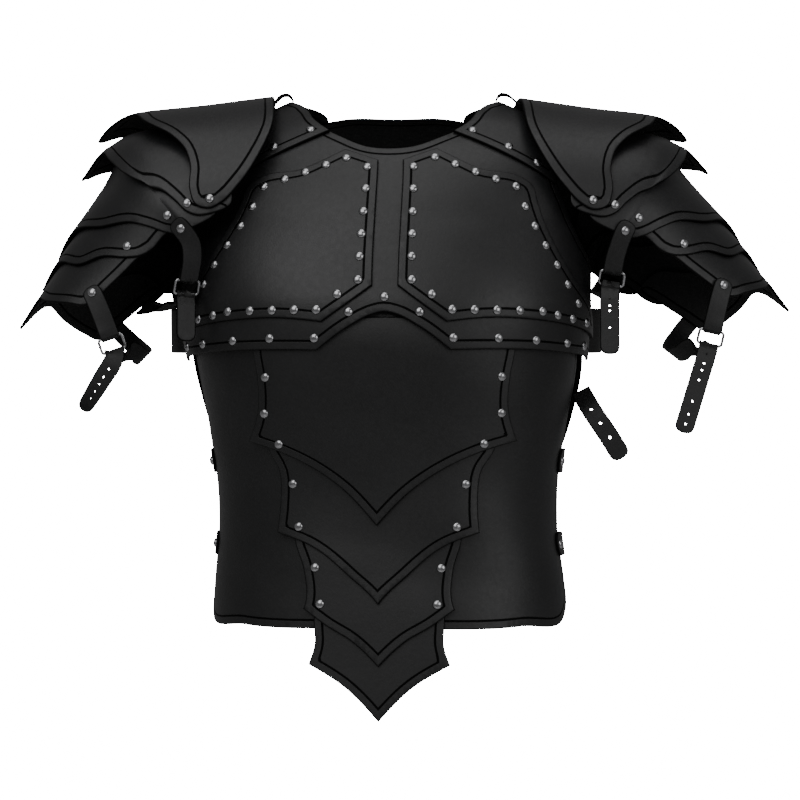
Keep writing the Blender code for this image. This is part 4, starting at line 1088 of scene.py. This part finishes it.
for side, height, shift, draw, length, hang, turn, holes in ARM_STRAPS:
    buckle = Buckle(side, height, shift, draw)
    seats = []

    stations = buckle.route[:-1]
    before = buckle.rear_bar - buckle.along * FOLD_LEAD + buckle.out * buckle.bar_gap
    stations.append((before, buckle.out, buckle.across))
    stations += buckle.round_bar(buckle.rear_bar, (90, 45, 0, -45, -90))
    fold_end = buckle.rear_bar - buckle.along * STRAP_FOLD - buckle.out * buckle.bar_gap
    stations.append((fold_end, -buckle.out, buckle.across))
    short = strap(f"arm_strap_{side}_{height}_leather", Route(stations), 0.0, ARM_STRAP_WIDTH,
                  ("round", "square"))
    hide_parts(f"arm_strap_{side}_{height}")
    spot, facing = buckle.route[1]
    seats.append((spot + facing * STRAP_LEATHER, facing))

    bar_piece = make_buckle(f"arm_buckle_{side}_{height}_metal", buckle)
    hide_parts(f"arm_buckle_{side}_{height}")

    route = [(buckle.over_lame(*place, STRAP_LEATHER), -buckle.facing(*place))
             for place in ARM_TAIL_ROUTES[height]]
    stations = list(route)
    below = buckle.front_bar + TAIL_ARRIVES[0] * buckle.along + TAIL_ARRIVES[1] * buckle.out
    stations.append((below, -buckle.out, buckle.across))
    stations += buckle.round_bar(buckle.front_bar, (-90, -135, -180, -225, -270, -315))
    down = unit(np.array(hang, float))
    start = stations[-1][0] + TAIL_LEAVES[0] * buckle.along + TAIL_LEAVES[1] * buckle.out
    first_hanging = len(stations)
    for share in HANG_SHARES:
        across = Vector(unit(buckle.across - np.dot(buckle.across, down) * down))
        across.rotate(Matrix.Rotation(math.radians(turn * share), 3, Vector(down)))
        stations.append((start + down * length * share, np.cross(across, down), across))
    tail_route = Route(stations)
    hanging = float(tail_route.reach[first_hanging]) - HANG_SHARES[0] * length
    tail = strap(f"arm_tail_{side}_{height}_leather", tail_route, 0.0, ARM_STRAP_WIDTH,
                 ("round", "round"), [(0.0, hanging + distance, HOLE_RADIUS) for distance in holes])
    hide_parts(f"arm_tail_{side}_{height}")
    spot, facing = route[1]
    seats.append((spot, -facing))
    add_studs(f"arm_strap_{side}_{height}_studs", seats)

# Neck loops. A short strap on each shoulder rises from the yoke, leaves a small gap under its arch
# and runs in under the crown lame, which hangs from it. Plain strap leather with square ends.
NECK_LOOP_WIDTH = 0.016
NECK_LOOP_FROM = (90, 0.004)
NECK_LOOP_ARCH = ((-0.0030, 0.0007), (0.0010, 0.0060), (0.0060, 0.0058))
NECK_LOOP_ROWS = (0.02, 0.40)
NECK_LOOP_DEGREES = {"left": 80.0, "right": 92.5}
NECK_LOOP_CLEARANCE = {"left": 0.0024, "right": 0.0016}

crown_lift = guard_lift(*GUARD_LAMES[0][1:6])
for side, sign in (("left", 1), ("right", -1)):
    guard = GUARDS[side]
    yoke_edge = BODY.seat(around(sign * NECK_LOOP_FROM[0]), row_at(NECK_LOOP_FROM[1]),
                          2 * LEATHER + LAYER_GAP)[0]
    stations = [(yoke_edge + np.array((sign * across, 0, up)), (0, 0, 1))
                for across, up in NECK_LOOP_ARCH]
    angle = math.radians(NECK_LOOP_DEGREES[side])
    off = -STRAP_LEATHER - NECK_LOOP_CLEARANCE[side]
    stations += [guard.seat(angle, row, crown_lift(angle, row) + off) for row in NECK_LOOP_ROWS]
    loop = strap(f"neck_loop_{side}_leather", Route(stations), 0.0, NECK_LOOP_WIDTH,
                 ("square", "square"))
    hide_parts(f"neck_loop_{side}")

# Stage. A plain pale floor well below and a plain white wall far behind, clear of every view of the
# armour. Soft light from large lamps, and the camera level with the chest at the photo's distance.
CAMERA_SPOT = (0.0075, -2.6, -0.294)
FLOOR_HEIGHT = -2.0
WALL_DISTANCE = 4.0
SHEET_SIZE = 6.0
WORLD_LIGHT = 0.21
AIM_HEIGHT = -0.28
LAMPS = (
    # name, place, size, watts
    ("key", (-0.9, -2.2, 1.3), 2.2, 36), ("fill", (1.7, -1.9, 0.3), 1.4, 14),
    ("top", (0.1, -0.5, 1.7), 1.5, 12))
PAPER_WHITE = (1.0, 1.0, 1.0, 1.0)


def paper(name, shape, glow):
    material = bpy.data.materials.new(name)
    material.use_nodes = True
    shader = material.node_tree.nodes["Principled BSDF"]
    shader.inputs["Base Color"].default_value = (0.9, 0.9, 0.9, 1)
    shader.inputs["Roughness"].default_value = 1.0
    shader.inputs["Emission Color"].default_value = PAPER_WHITE
    shader.inputs["Emission Strength"].default_value = glow
    mesh = bpy.data.meshes.new(name)
    shape.to_mesh(mesh)
    shape.free()
    mesh.materials.append(material)
    sheet = bpy.data.objects.new(name, mesh)
    bpy.context.scene.collection.objects.link(sheet)
    return sheet


floor = bmesh.new()
bmesh.ops.create_grid(floor, x_segments=1, y_segments=1, size=SHEET_SIZE)
bmesh.ops.translate(floor, verts=floor.verts, vec=(0, 0, FLOOR_HEIGHT))
paper("floor", floor, 0.0)
wall = bmesh.new()
bmesh.ops.create_grid(wall, x_segments=1, y_segments=1, size=SHEET_SIZE,
                      matrix=Matrix.Rotation(math.radians(90), 4, "X"))
bmesh.ops.translate(wall, verts=wall.verts, vec=(0, WALL_DISTANCE, 0.0))
backdrop = paper("wall", wall, 30.0)
backdrop.visible_diffuse = False
backdrop.visible_glossy = False

world = bpy.data.worlds.new("studio")
bpy.context.scene.world = world
world.use_nodes = True
world.node_tree.nodes["Background"].inputs["Color"].default_value = (1, 1, 1, 1)
world.node_tree.nodes["Background"].inputs["Strength"].default_value = WORLD_LIGHT

for name, spot, size, power in LAMPS:
    lamp = bpy.data.lights.new(name, "AREA")
    lamp.size = size
    lamp.energy = power
    lamp_object = bpy.data.objects.new(name, lamp)
    lamp_object.location = spot
    aim = Vector((0, 0, AIM_HEIGHT)) - Vector(spot)
    lamp_object.rotation_euler = aim.to_track_quat("-Z", "Y").to_euler()
    bpy.context.scene.collection.objects.link(lamp_object)

camera = bpy.data.cameras.new("camera")
camera.lens = 117
camera.sensor_width = 36
camera_object = bpy.data.objects.new("camera", camera)
camera_object.location = CAMERA_SPOT
camera_object.rotation_euler = (math.radians(90), 0, 0)
bpy.context.scene.collection.objects.link(camera_object)
bpy.context.scene.camera = camera_object
